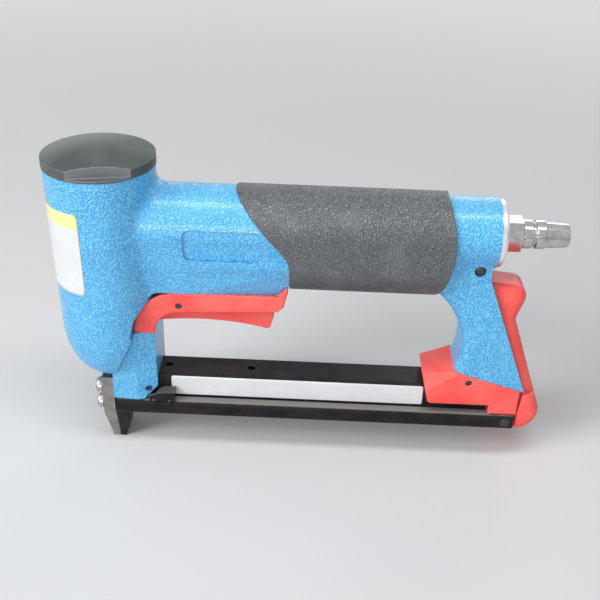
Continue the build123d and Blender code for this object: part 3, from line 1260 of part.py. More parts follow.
NODES = {
    "body_casting": body_casting,
    "head_cap": head_cap,
    "cap_seal": cap_seal,
    "cylinder_sleeve": cylinder_sleeve,
    "sleeve_seal": sleeve_seal,
    "piston_bumper": piston_bumper,
    "piston": piston,
    "piston_ring": piston_ring,
    "driver_blade": driver_blade,
    "driver_pin": driver_pin,
    "head_valve": head_valve,
    "head_valve_seal": head_valve_seal,
    "head_valve_ring": head_valve_ring,
    "head_valve_spring": head_valve_spring,
    "grip_sleeve": grip_sleeve,
    "end_plug": end_plug,
    "end_plug_seal": end_plug_seal,
    "end_plug_pin": end_plug_pin,
    "air_plug": air_plug,
    "trigger_housing": trigger_housing,
    "trigger_pin": trigger_pin,
    "trigger": trigger,
    "valve_bushing": valve_bushing,
    "valve_bushing_seals": valve_bushing_seals,
    "valve_stem": valve_stem,
    "valve_spring": valve_spring,
    "nose_front_plate": nose_front_plate,
    "drive_guide": drive_guide,
    "nose_screws_long": nose_screws_long,
    "nose_screws_short": nose_screws_short,
    "fixed_magazine": fixed_magazine,
    "magazine_pins": magazine_pins,
    "tail_seat": tail_seat,
    "tail_pin": tail_pin,
    "slide_channel": slide_channel,
    "staple_core": staple_core,
    "inner_nose": inner_nose,
    "core_screws": core_screws,
    "guide_rod": guide_rod,
    "pusher": pusher,
    "pusher_spring": pusher_spring,
    "guide_clips": guide_clips,
    "latch_lever": latch_lever,
    "latch_pin": latch_pin,
    "latch_spring": latch_spring,
}

for name, make in NODES.items():
    export_step(make(), f"parts/{name}.step")
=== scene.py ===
import json
import math

import bmesh
import bpy
from mathutils import Matrix, Vector


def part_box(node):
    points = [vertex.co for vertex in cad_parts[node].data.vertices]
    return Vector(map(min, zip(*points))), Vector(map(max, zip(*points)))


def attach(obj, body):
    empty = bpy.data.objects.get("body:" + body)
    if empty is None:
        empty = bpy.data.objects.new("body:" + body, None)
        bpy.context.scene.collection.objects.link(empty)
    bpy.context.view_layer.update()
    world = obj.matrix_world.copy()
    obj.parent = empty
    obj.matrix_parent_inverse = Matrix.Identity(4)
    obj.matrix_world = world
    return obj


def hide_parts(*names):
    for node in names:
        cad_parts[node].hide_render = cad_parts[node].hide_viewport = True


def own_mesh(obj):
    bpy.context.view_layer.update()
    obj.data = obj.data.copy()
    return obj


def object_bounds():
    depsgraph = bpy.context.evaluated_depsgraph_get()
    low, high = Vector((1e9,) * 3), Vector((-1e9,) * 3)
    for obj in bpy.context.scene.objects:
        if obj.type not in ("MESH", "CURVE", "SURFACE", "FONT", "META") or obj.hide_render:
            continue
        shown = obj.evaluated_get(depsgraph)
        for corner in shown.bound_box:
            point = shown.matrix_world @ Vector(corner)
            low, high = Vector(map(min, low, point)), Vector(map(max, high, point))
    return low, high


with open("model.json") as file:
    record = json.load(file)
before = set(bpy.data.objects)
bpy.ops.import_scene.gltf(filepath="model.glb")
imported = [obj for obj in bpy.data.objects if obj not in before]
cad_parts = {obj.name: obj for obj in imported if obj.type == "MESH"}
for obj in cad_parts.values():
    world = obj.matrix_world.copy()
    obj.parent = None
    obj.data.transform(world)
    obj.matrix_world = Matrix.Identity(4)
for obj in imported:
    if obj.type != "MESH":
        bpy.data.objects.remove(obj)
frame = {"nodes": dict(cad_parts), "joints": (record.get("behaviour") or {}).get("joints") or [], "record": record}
CAD_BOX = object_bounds()

bl_info = {
    "name": "Air Stapler Dressing",
    "version": (1, 0, 0),
    "blender": (4, 5, 0),
    "location": "View3D > Sidebar > Stapler",
    "description": "Paints and labels the parts of a compressed-air stapler and sets its studio stage",
    "category": "Object",
}

MM = 0.001

# Head barrel of the CAD model, which the sticker lies on
HEAD_ROUND_Z = 66.0 * MM
HEAD_ROUND_RADIUS = 22.7 * MM
HEAD_TOP_Z = 142.0 * MM
HEAD_TOP_RADIUS = 24.2 * MM

# Gaps that keep the films clear of the surfaces under them
LABEL_GAP = 0.02 * MM
STICKER_GAP = 0.05 * MM

# Fineness of the films and the coils
LABEL_COLUMNS = 40
LABEL_ROWS = 24
STICKER_COLUMNS = 96
STICKER_ROWS = 30
STEPS_PER_TURN = 18
WIRE_SIDES = 8

# Rays that the soft edges and the grooves for painted shade are found with
EDGE_SAMPLES = 6

# Scale of the noise along each axis, which draws it out into tool marks
LATHE_MARKS = (0.08, 1.0, 1.0)
DRAWN_MARKS = (0.03, 1.0, 1.0)
GROUND_MARKS = (1.0, 0.04, 1.0)

# Values that most of a noise lies between, and those over which clouds of colour come in
NOISE_SPREAD = (0.3, 0.7)
CLOUD_SPREAD = (0.35, 0.7)
FILM_SPREAD = (0.35, 0.75)

# How far the cells of a pattern run into each other
CELL_SMOOTHNESS = 0.6

# Worn edges of the ground nose plates
BARE_STEEL = (0.62, 0.60, 0.57)

# Where the photographer stood, and which way the camera looks
CAMERA_PLACE = (0.09437, -0.3593, 0.2883)
CAMERA_YAW = math.radians(-1.01)
CAMERA_PITCH = math.radians(30.37)
CAMERA_ROLL = math.radians(1.91)
SENSOR_WIDTH = 36.0
NEAREST_SEEN = 0.01

# Floor, in metres: it fades into the backdrop away from the stapler
FLOOR_HALF = 3.0
FLOOR_GAP = 0.1 * MM
FLOOR_MIDDLE = (0.09, 0.0, 0.0)
FLOOR_CLOUD = 0.4
FLOOR_LIFT = 1.02
FADE_START = 0.3
FADE_END = 1.0

# Point on the stapler that the lamps face
LAMP_TARGET = (0.09, 0.0, 0.08)


# Shader sums

class Wire:
    """A shader socket that plain sums can be written with."""

    def __init__(self, finish, socket):
        self.finish = finish
        self.socket = socket

    def sum_node(self, operation, first, second):
        return self.finish.node("ShaderNodeMath", {"operation": operation}, {0: first, 1: second})

    def __add__(self, other):
        return self.sum_node("ADD", self, other)

    def __radd__(self, other):
        return self.sum_node("ADD", other, self)

    def __sub__(self, other):
        return self.sum_node("SUBTRACT", self, other)

    def __rsub__(self, other):
        return self.sum_node("SUBTRACT", other, self)

    def __mul__(self, other):
        return self.sum_node("MULTIPLY", self, other)

    def __rmul__(self, other):
        return self.sum_node("MULTIPLY", other, self)


class Graph:
    """A node tree, built node by node."""

    def __init__(self, tree, output):
        self.tree = tree
        self.tree.nodes.clear()
        self.output = self.tree.nodes.new(output)

    def put(self, socket, value):
        """Link a wire to a socket, or set the socket's own value."""
        if isinstance(value, Wire):
            self.tree.links.new(value.socket, socket)
        else:
            socket.default_value = value

    def node(self, kind, settings=None, sockets=None, output=0):
        """Add a node: its settings first, then the values or links of its sockets."""
        made = self.tree.nodes.new(kind)
        for key, value in (settings or {}).items():
            setattr(made, key, value)
        for key, value in (sockets or {}).items():
            self.put(find_socket(made.inputs, key), value)
        return Wire(self, find_socket(made.outputs, output))


class Finish(Graph):
    """One procedural material."""

    def __init__(self, name):
        self.material = bpy.data.materials.new(name)
        self.material.use_nodes = True
        super().__init__(self.material.node_tree, "ShaderNodeOutputMaterial")
        self.surface = self.tree.nodes.new("ShaderNodeBsdfPrincipled")
        self.put(self.output.inputs["Surface"], Wire(self, self.surface.outputs["BSDF"]))
        self.place = self.node("ShaderNodeTexCoord", output="Object")

    def shade(self, **sockets):
        """Fill the surface's sockets; underscores stand for spaces."""
        for key, value in sockets.items():
            self.put(self.surface.inputs[key.replace("_", " ")], value)
        return self.material


def find_socket(sockets, key):
    """A socket by its number, its identifier or its name."""
    if isinstance(key, int):
        return sockets[key]
    for socket in sockets:
        if socket.identifier == key:
            return socket
    return sockets[key]


def colour(value):
    """A wire as it is, or a plain colour with full alpha, as the sockets take it."""
    if isinstance(value, Wire):
        return value
    return (value[0], value[1], value[2], 1.0)


def vector_node(finish, operation, sockets, output=0):
    """Sum of vectors."""
    return finish.node("ShaderNodeVectorMath", {"operation": operation}, sockets, output)


def mix(finish, factor, first, second):
    """One colour turning into another."""
    sockets = {"Factor_Float": factor, "A_Color": colour(first), "B_Color": colour(second)}
    return finish.node("ShaderNodeMix", {"data_type": "RGBA"}, sockets, "Result_Color")


def reach(finish, value, low, high, start=0.0, end=1.0):
    """Map one range of values onto another, with no overshoot."""
    sockets = {"Value": value, "From Min": low, "From Max": high, "To Min": start, "To Max": end}
    return finish.node("ShaderNodeMapRange", {"clamp": True}, sockets)


def clouded(finish, cloud, spread, first, second):
    """One tone turning into another over a spread of a cloud's values."""
    return mix(finish, reach(finish, cloud, *spread), first, second)


def noise(finish, size, detail=3.0, roughness=0.5, stretch=None, place=None):
    """Soft cloudy noise whose clumps are about one size, in metres."""
    place = place or finish.place
    if stretch:
        place = vector_node(finish, "MULTIPLY", {0: place, 1: stretch})
    sockets = {"Vector": place, "Scale": 1.0 / size, "Detail": detail, "Roughness": roughness}
    return finish.node("ShaderNodeTexNoise", sockets=sockets)


def cells(finish, size, feature, place):
    """Distance field of cells of about one size, in metres."""
    sockets = {"Vector": place, "Scale": 1.0 / size}
    if feature == "SMOOTH_F1":
        sockets["Smoothness"] = CELL_SMOOTHNESS
    return finish.node("ShaderNodeTexVoronoi", {"feature": feature}, sockets, "Distance")


def warped(finish, size, push):
    """Place on the piece, pushed about by noise so that patterns don't look drawn."""
    sockets = {"Vector": finish.place, "Scale": 1.0 / size, "Detail": 1.0}
    swirl = finish.node("ShaderNodeTexNoise", sockets=sockets, output="Color")
    return vector_node(finish, "MULTIPLY_ADD", {0: swirl, 1: (push, push, push), 2: finish.place})


def facing(finish):
    """Way that the surface faces."""
    return finish.node("ShaderNodeNewGeometry", output="Normal")


def upward_part(finish, vector):
    """How far a vector goes up."""
    return finish.node("ShaderNodeSeparateXYZ", sockets={"Vector": vector}, output="Z")


def agreement(finish, first, second):
    """One where two directions agree, nothing where they are square to each other."""
    return vector_node(finish, "DOT_PRODUCT", {0: first, 1: second}, "Value")


def rounded(finish, radius):
    """Normal that rounds sharp edges off."""
    return finish.node("ShaderNodeBevel", {"samples": EDGE_SAMPLES}, {"Radius": radius}, "Normal")


def edge_mask(finish, radius):
    """One along sharp edges, nothing on open faces."""
    agree = agreement(finish, rounded(finish, radius), facing(finish))
    return reach(finish, 1.0 - agree, 0.02, 0.25)


def crease_shade_mask(finish, width):
    """High in grooves and inner corners narrower than a width, in metres, from ambient occlusion; it sets where
    shade is painted.
    """
    settings = {"samples": EDGE_SAMPLES, "only_local": True}
    open_air = finish.node("ShaderNodeAmbientOcclusion", settings, {"Distance": width}, "AO")
    return reach(finish, open_air, 0.45, 0.90, start=0.7, end=0.0)


def bumped(finish, height, depth, normal=None, strength=1.0):
    """Normal with a height pattern of one depth, in metres, pressed into it."""
    sockets = {"Strength": strength, "Distance": depth, "Height": height}
    if normal:
        sockets["Normal"] = normal
    return finish.node("ShaderNodeBump", sockets=sockets)


# Finishes

def hammertone_paint(settings, sizes):
    """Blue paint that dried in fine dimples, paler and glossier on the crests between them, with painted glints on
    the crests and painted shade in its grooves.
    """
    finish = Finish("blue_hammertone_paint")
    size = sizes.hammer_size
    dimples = cells(finish, size, "SMOOTH_F1", warped(finish, size * 1.6, size * 0.9))
    fine = noise(finish, size * 0.4, detail=2.0)
    broad = noise(finish, size * 14.0, detail=2.0)
    glint_noise = noise(finish, size * 0.5, detail=1.0)
    crests = reach(finish, dimples * 0.8 + fine * 0.5, 0.40, 0.72, start=1.0, end=0.0)
    base = mix(finish, crests, settings.paint_deep, settings.paint_light)
    base = mix(finish, reach(finish, broad, *NOISE_SPREAD, end=0.2), base, settings.paint_light)
    # Painted highlight: pale glint specks on the crests stand in for the sparkle of metal flake.
    base = mix(finish, reach(finish, glint_noise, 0.62, 0.74) * crests * 0.2, base, settings.paint_glint_and_wear)
    # Painted shade: the paint darkens where ambient occlusion finds grooves and corners.
    base = mix(finish, crease_shade_mask(finish, 1.5 * MM) * 0.5, base, settings.paint_crease_shade)
    worn = edge_mask(finish, 0.4 * MM) * reach(finish, fine, 0.45, 0.65)
    base = mix(finish, worn * 0.4, base, settings.paint_glint_and_wear)
    height = crests * 0.6 + fine * 0.4
    return finish.shade(
        Base_Color=base,
        Metallic=0.15,
        Roughness=reach(finish, crests, 0.0, 1.0, start=0.38, end=0.28),
        Specular_IOR_Level=0.9,
        Coat_Weight=reach(finish, crests, 0.0, 1.0, start=0.4, end=0.9),
        Coat_Roughness=0.22,
        Normal=bumped(finish, height, depth=0.48 * MM, normal=rounded(finish, 0.4 * MM)),
    )


def anodised_black(settings, flat_turn, flat_foot):
    """Satin black of the head cap, with a painted reflection on its wrench flats and the upward rims under them,
    and edges rubbed paler.
    """
    finish = Finish("black_anodised_cap")
    cloud = noise(finish, 12.0 * MM)
    fine = noise(finish, 0.6 * MM, detail=2.0)
    base = clouded(finish, cloud, NOISE_SPREAD, settings.cap_dark, settings.cap_light)
    across = (math.cos(flat_turn), math.sin(flat_turn), 0.0)
    way = facing(finish)
    square = agreement(finish, way, across)
    height = upward_part(finish, finish.place)
    above_foot = reach(finish, height, flat_foot, flat_foot + 0.2 * MM)
    # Painted reflection: faces square to the flats' direction, above their foot, turn paler.
    flats = reach(finish, square * square, 0.97, 0.99) * above_foot
    below_foot = reach(finish, height, flat_foot, flat_foot + 0.4 * MM, start=1.0, end=0.0)
    ledge_highlight = reach(finish, upward_part(finish, way), 0.95, 0.99) * below_foot
    # Painted reflection on the flats, and a painted highlight on the upward rims below them.
    base = mix(finish, flats * 0.8 + ledge_highlight * 0.5, base, settings.cap_flat_reflection)
    worn = edge_mask(finish, 0.9 * MM) * reach(finish, fine, 0.30, 0.60)
    base = mix(finish, worn * 0.45, base, settings.cap_worn)
    return finish.shade(
        Base_Color=base,
        Metallic=0.3,
        Roughness=reach(finish, cloud, *NOISE_SPREAD, start=0.42, end=0.52),
        Specular_IOR_Level=0.45,
        Normal=bumped(finish, fine, depth=0.03 * MM, normal=rounded(finish, 0.9 * MM), strength=0.4),
    )


def grained_rubber(settings, sizes):
    """Black rubber with a leather grain, soft folds and a few rubbed nicks."""
    finish = Finish("leather_grained_rubber")
    size = sizes.grain_size
    place = warped(finish, size * 2.2, size * 1.6)
    pebbles = reach(finish, cells(finish, size, "DISTANCE_TO_EDGE", place), 0.0, 0.32)
    shades = noise(finish, size * 1.6, detail=1.0, place=place)
    folds = noise(finish, size * 9.0, detail=4.0, roughness=0.55)
    nicks = noise(finish, size * 3.0, roughness=0.6, stretch=(0.5, 1.0, 1.0))
    skin = pebbles * reach(finish, shades, 0.35, 0.65, start=0.6)
    base = mix(finish, skin, settings.grip_dark, settings.grip_grey)
    base = mix(finish, reach(finish, folds, 0.50, 0.75) * 0.25, base, settings.grip_worn)
    base = mix(finish, reach(finish, nicks, 0.70, 0.76) * 0.6, base, settings.grip_worn)
    height = pebbles * 0.8 + shades * 0.5 + folds * 1.2
    return finish.shade(
        Base_Color=base,
        Roughness=reach(finish, skin, 0.0, 1.0, start=0.46, end=0.36),
        Specular_IOR_Level=1.0,
        Normal=bumped(finish, height, depth=0.5 * MM, normal=rounded(finish, 0.7 * MM), strength=0.55),
    )


def moulded_red(settings):
    """Red plastic with painted shade in its inner corners, scuffs and rubbed edges."""
    finish = Finish("moulded_red_plastic")
    cloud = noise(finish, 15.0 * MM)
    peel = noise(finish, 1.2 * MM, detail=2.0)
    scuffs = noise(finish, 2.2 * MM, roughness=0.6, stretch=(1.0, 1.0, 0.4))
    base = clouded(finish, cloud, NOISE_SPREAD, settings.red, settings.red_light)
    base = mix(finish, reach(finish, scuffs, 0.64, 0.74) * 0.3, base, settings.red_rubbed)
    # Painted shade: the red darkens where ambient occlusion finds grooves and inner corners.
    base = mix(finish, crease_shade_mask(finish, 3.0 * MM), base, settings.red_crease_shade)
    worn = edge_mask(finish, 0.7 * MM) * reach(finish, peel, 0.35, 0.60)
    base = mix(finish, worn * 0.55, base, settings.red_rubbed)
    return finish.shade(
        Base_Color=base,
        Roughness=reach(finish, cloud + scuffs * 0.3, 0.4, 0.9, start=0.32, end=0.46),
        Specular_IOR_Level=0.35,
        Normal=bumped(finish, peel, depth=0.08 * MM, normal=rounded(finish, 0.9 * MM), strength=0.35),
    )


def black_oxide(settings, name, wear, rubbed):
    """Black oxide with bare edges; rubbed sets how much painted sheen lightens the upward faces."""
    finish = Finish(name)
    cloud = noise(finish, 10.0 * MM, detail=4.0, roughness=0.6)
    drawn = noise(finish, 0.5 * MM, detail=2.0, stretch=DRAWN_MARKS)
    base = clouded(finish, cloud, CLOUD_SPREAD, settings.oxide_dark, settings.oxide_brown)
    # Painted sheen: faces that look upwards turn paler.
    if rubbed:
        top_sheen = reach(finish, upward_part(finish, facing(finish)), 0.8, 0.95)
        base = mix(finish, top_sheen * rubbed, base, settings.oxide_worn_and_sheen)
    worn = edge_mask(finish, 0.4 * MM) * reach(finish, cloud, 0.40, 0.65)
    base = mix(finish, worn * wear, base, settings.oxide_worn_and_sheen)
    return finish.shade(
        Base_Color=base,
        Metallic=0.2,
        Roughness=reach(finish, drawn, *NOISE_SPREAD, start=0.30, end=0.44),
        Specular_IOR_Level=0.1,
        Normal=bumped(finish, drawn, depth=0.02 * MM, normal=rounded(finish, 0.4 * MM), strength=0.3),
    )


def ground_steel(settings):
    """Steel with fine grinding marks, brown clouds of painted reflection and bare edges."""
    finish = Finish("ground_nose_steel")
    cloud = noise(finish, 6.0 * MM, detail=4.0, roughness=0.6)
    ground = noise(finish, 0.4 * MM, detail=2.0, stretch=GROUND_MARKS)
    # Painted reflection: brown clouds stand in for a brown surface mirrored in the steel.
    base = clouded(finish, cloud, CLOUD_SPREAD, settings.nose_steel, settings.nose_brown_reflection)
    base = mix(finish, edge_mask(finish, 0.4 * MM) * 0.5, base, BARE_STEEL)
    return finish.shade(
        Base_Color=base,
        Metallic=0.9,
        Roughness=reach(finish, ground, *NOISE_SPREAD, start=0.28, end=0.44),
        Normal=bumped(finish, ground, depth=0.03 * MM, normal=rounded(finish, 0.3 * MM), strength=0.4),
    )


def plated_metal(name, bright, dull, smooth, rough, grain=0.5 * MM, stretch=None):
    """Plated or turned metal: a bright and a dull tone, and a range of roughness."""
    finish = Finish(name)
    cloud = noise(finish, 4.0 * MM, detail=4.0, roughness=0.6)
    brushed = noise(finish, grain, detail=2.0, stretch=stretch)
    return finish.shade(
        Base_Color=clouded(finish, cloud, CLOUD_SPREAD, bright, dull),
        Metallic=0.95,
        Roughness=reach(finish, cloud * 0.5 + brushed * 0.5, *NOISE_SPREAD, start=smooth, end=rough),
        Normal=bumped(finish, brushed, depth=0.02 * MM, normal=rounded(finish, 0.3 * MM), strength=0.3),
    )


def plain_moulding(name, first, second, rough):
    """Moulded rubber or plastic of two close tones in a faint mottle."""
    finish = Finish(name)
    cloud = noise(finish, 3.0 * MM)
    return finish.shade(
        Base_Color=clouded(finish, cloud, CLOUD_SPREAD, first, second),
        Roughness=reach(finish, cloud, *NOISE_SPREAD, start=rough, end=rough + 0.12),
        Normal=bumped(finish, cloud, depth=0.04 * MM, strength=0.3),
    )


def label_film(settings):
    """White film of the magazine label, with a faint ripple."""
    finish = Finish("label_film")
    cloud = noise(finish, 20.0 * MM)
    ripple = noise(finish, 3.0 * MM, detail=2.0)
    return finish.shade(
        Base_Color=clouded(finish, cloud, FILM_SPREAD, settings.label_white, settings.label_shade),
        Roughness=reach(finish, cloud, *NOISE_SPREAD, start=0.26, end=0.38),
        Coat_Weight=0.3,
        Normal=bumped(finish, ripple, depth=0.03 * MM, strength=0.3),
    )


def sticker_film(settings, band_foot):
    """White film of the head sticker, yellow above the foot of its band."""
    finish = Finish("head_sticker_film")
    cloud = noise(finish, 20.0 * MM)
    white = clouded(finish, cloud, FILM_SPREAD, settings.label_white, settings.label_shade)
    band = reach(finish, upward_part(finish, finish.place), band_foot, band_foot + 0.2 * MM)
    return finish.shade(
        Base_Color=mix(finish, band, white, settings.sticker_yellow),
        Roughness=reach(finish, cloud, *NOISE_SPREAD, start=0.24, end=0.36),
        Coat_Weight=0.3,
    )


def pale_floor(settings):
    """Pale floor that keeps the stapler's shadow and fades into the backdrop further out."""
    finish = Finish("pale_floor")
    cloud = noise(finish, FLOOR_CLOUD)
    paler = [min(1.0, part * FLOOR_LIFT) for part in settings.floor]
    away = vector_node(finish, "DISTANCE", {0: finish.place, 1: FLOOR_MIDDLE}, "Value")
    seen = finish.node("ShaderNodeLightPath", output="Is Camera Ray")
    fade = reach(finish, away, FADE_START, FADE_END) * seen
    near = Wire(finish, finish.surface.outputs["BSDF"])
    far = finish.node("ShaderNodeEmission", sockets={"Color": colour(settings.backdrop)})
    surface = finish.node("ShaderNodeMixShader", sockets={0: fade, 1: near, 2: far})
    finish.put(finish.output.inputs["Surface"], surface)
    return finish.shade(
        Base_Color=mix(finish, cloud, settings.floor, paler),
        Roughness=0.85,
        Specular_IOR_Level=0.2,
    )


def pale_sky(settings):
    """Even sky that looks as pale as the backdrop, and lights the stapler only softly."""
    world = bpy.data.worlds.new("studio_sky")
    world.use_nodes = True
    sky = Graph(world.node_tree, "ShaderNodeOutputWorld")
    seen = sky.node("ShaderNodeLightPath", output="Is Camera Ray")
    mirrored = sky.node("ShaderNodeLightPath", output="Is Glossy Ray")
    soft = [part * settings.sky for part in settings.backdrop]
    tint = mix(sky, reach(sky, seen + mirrored, 0.0, 1.0), soft, settings.backdrop)
    light = sky.node("ShaderNodeBackground", sockets={"Color": tint})
    sky.put(sky.output.inputs["Surface"], light)
    return world


def nodes_of(slot):
    """Names of the CAD nodes that the record gives to a material slot."""
    return [part["node"] for part in frame["record"]["subparts"] if part["material_slot"] == slot]


def dress(material, *nodes):
    """Give CAD nodes a finish."""
    for name in nodes:
        mesh = frame["nodes"][name].data
        mesh.materials.clear()
        mesh.materials.append(material)


# Pieces made here

def add_object(name, data):
    """New object in the scene."""
    made = bpy.data.objects.new(name, data)
    bpy.context.scene.collection.objects.link(made)
    return made


def add_closed_shape(name, shape, smooth):
    """New object from a closed bmesh shape, with its faces turned outwards."""
    bmesh.ops.recalc_face_normals(shape, faces=shape.faces)
    for face in shape.faces:
        face.smooth = smooth
    mesh = bpy.data.meshes.new(name)
    shape.to_mesh(mesh)
    shape.free()
    return add_object(name, mesh)


def film_piece(name, columns, rows, place, smooth=False):
    """Thin closed film: place(u, v, lift) gives the point at lift 0 underneath and 1 on top."""
    shape = bmesh.new()
    sides = []
    for lift in (0, 1):
        grid = []
        for column in range(columns + 1):
            u = column / columns
            grid.append([shape.verts.new(place(u, row / rows, lift)) for row in range(rows + 1)])
        sides.append(grid)
    for lift, grid in enumerate(sides):
        for near, far in zip(grid, grid[1:]):
            for row in range(rows):
                corners = [near[row], far[row], far[row + 1], near[row + 1]]
                shape.faces.new(corners if lift else corners[::-1])
    under, over = sides
    for column in range(columns):
        after = column + 1
        for row in (0, rows):
            shape.faces.new([under[column][row], under[after][row], over[after][row], over[column][row]])
    for row in range(rows):
        after = row + 1
        for column in (0, columns):
            low, high = under[column], over[column]
            shape.faces.new([low[row], low[after], high[after], high[row]])
    return add_closed_shape(name, shape, smooth)


def wound_spring(name, node, axis, wire, turns):
    """Coil spring in the place of a CAD node, along one axis, with its first and last turn closed."""
    low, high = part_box(node)
    across = (axis + 1) % 3
    upright = (axis + 2) % 3
    radius = (high[across] - low[across] - wire) / 2
    span = high[axis] - low[axis] - wire
    open_turns = turns - 2
    pitch = (span - 2 * wire) / open_turns
    shape = bmesh.new()
    rings = []
    for step in range(turns * STEPS_PER_TURN + 1):
        turn = step / STEPS_PER_TURN
        along = wire * min(turn, 1.0) + pitch * min(max(turn - 1.0, 0.0), open_turns)
        along += wire * max(turn - (turns - 1), 0.0)
        angle = 2 * math.pi * turn
        ring = []
        for side in range(WIRE_SIDES):
            lean = 2 * math.pi * side / WIRE_SIDES
            out = radius + wire / 2 * math.cos(lean)
            point = [0.0, 0.0, 0.0]
            point[axis] = low[axis] + wire / 2 + along + wire / 2 * math.sin(lean)
            point[across] = (low[across] + high[across]) / 2 + out * math.cos(angle)
            point[upright] = (low[upright] + high[upright]) / 2 + out * math.sin(angle)
            ring.append(shape.verts.new(point))
        rings.append(ring)
    for back, front in zip(rings, rings[1:]):
        for side in range(WIRE_SIDES):
            after = (side + 1) % WIRE_SIDES
            shape.faces.new([back[side], back[after], front[after], front[side]])
    shape.faces.new(rings[0])
    shape.faces.new(rings[-1])
    return add_closed_shape(name, shape, smooth=True)


def close_up(spring, node, joint, axis):
    """Give a spring a mesh of its own; the share of its length left after a sliding joint's whole travel is worked
    out, but the spring isn't closed up.
    """
    low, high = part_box(node)
    travel = next(part for part in frame["joints"] if part["name"] == joint)["range_m"][1]
    kept = 1.0 - travel / (high[axis] - low[axis])
    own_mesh(spring)


def rounded_limits(along, whole, low, high, radius):
    """Low and high edge of a rounded rectangle, at a distance along the whole of it."""
    near = min(along, whole - along)
    cut = 0.0
    if near < radius:
        cut = radius - math.sqrt(max(0.0, radius**2 - (radius - near) ** 2))
    return low + cut, high - cut


def head_radius(z):
    """Radius of the head barrel at one height above its rounding."""
    share = (z - HEAD_ROUND_Z) / (HEAD_TOP_Z - HEAD_ROUND_Z)
    return HEAD_ROUND_RADIUS + (HEAD_TOP_RADIUS - HEAD_ROUND_RADIUS) * share


# What a user may change

def tone(name, description, default):
    """A colour that a user can change."""
    return bpy.props.FloatVectorProperty(
        name=name, description=description, subtype="COLOR", size=3, min=0.0, max=1.0, default=default
    )


def length(name, description, default):
    """A length in metres that a user can change."""
    return bpy.props.FloatProperty(
        name=name, description=description, unit="LENGTH", min=0.0, default=default, precision=5
    )


def degrees(name, description, default):
    """An angle that a user can change; its default is in degrees."""
    return bpy.props.FloatProperty(
        name=name, description=description, subtype="ANGLE", default=math.radians(default)
    )


def turn_count(name, description, default):
    """A count of turns that a user can change."""
    return bpy.props.IntProperty(name=name, description=description, min=4, max=60, default=default)


def lamp_power(name, description, default):
    """A lamp's power in watts that a user can change."""
    return bpy.props.FloatProperty(name=name, description=description, subtype="POWER", default=default)


class StaplerColours(bpy.types.PropertyGroup):
    """Colours of the stapler's finishes."""

    paint_deep: tone("Paint Deep", "Blue in the dimples of the hammertone paint", (0.030, 0.340, 0.770))
    paint_light: tone("Paint Light", "Blue on the crests of the hammertone paint", (0.180, 0.700, 0.990))
    # Painted shade in the grooves and corners of the paint.
    paint_crease_shade: tone("Paint Crease", "Darker paint gathered in grooves and corners", (0.006, 0.070, 0.230))
    # Pale tone of the painted glints on the crests, and of the worn edges.
    paint_glint_and_wear: tone("Paint Glint", "Metal flake and worn edges of the paint", (0.720, 0.860, 0.950))
    cap_dark: tone("Cap Dark", "Black of the head cap", (0.066, 0.076, 0.076))
    cap_light: tone("Cap Light", "Grey cloud in the cap's black", (0.110, 0.124, 0.123))
    # Painted reflection on the wrench flats, and painted highlight on the rims below them.
    cap_flat_reflection: tone("Cap Flat", "Wrench flats of the cap, rubbed by the wrench", (0.190, 0.195, 0.215))
    cap_worn: tone("Cap Worn", "Bare metal at the cap's edges", (0.560, 0.560, 0.560))
    grip_dark: tone("Grip Dark", "Creases of the grip's grain", (0.036, 0.040, 0.045))
    grip_grey: tone("Grip Grey", "Skin of the grip between the creases", (0.136, 0.148, 0.160))
    grip_worn: tone("Grip Worn", "Rubbed patches of the grip", (0.220, 0.228, 0.236))
    red: tone("Red", "Trigger, trigger housing, tail and latch lever", (0.950, 0.082, 0.070))
    # Painted shade in the red's grooves and inner corners.
    red_crease_shade: tone("Red Deep", "Red in grooves and inner corners", (0.420, 0.022, 0.020))
    red_light: tone("Red Light", "Lighter clouds in the red", (0.980, 0.150, 0.130))
    red_rubbed: tone("Red Rubbed", "Scuffs and rubbed edges of the red", (0.950, 0.330, 0.300))
    oxide_dark: tone("Oxide Dark", "Black oxide of the magazine", (0.012, 0.012, 0.014))
    oxide_brown: tone("Oxide Brown", "Brown tint in the black oxide", (0.030, 0.026, 0.026))
    # Also the tone of the painted sheen on upward faces.
    oxide_worn_and_sheen: tone("Oxide Worn", "Bare steel at the magazine's edges", (0.300, 0.290, 0.280))
    nose_steel: tone("Nose Steel", "Ground steel of the nose plates", (0.360, 0.345, 0.330))
    # Painted brown reflection in the nose plates.
    nose_brown_reflection: tone("Nose Brown", "Temper tint of the nose plates", (0.230, 0.195, 0.165))
    label_white: tone("Label White", "Bare film of the label and the sticker", (0.720, 0.732, 0.745))
    label_shade: tone("Label Shade", "Faint grey clouds in the film", (0.650, 0.664, 0.680))
    sticker_yellow: tone("Sticker Yellow", "Band along the top of the head sticker", (0.760, 0.760, 0.340))


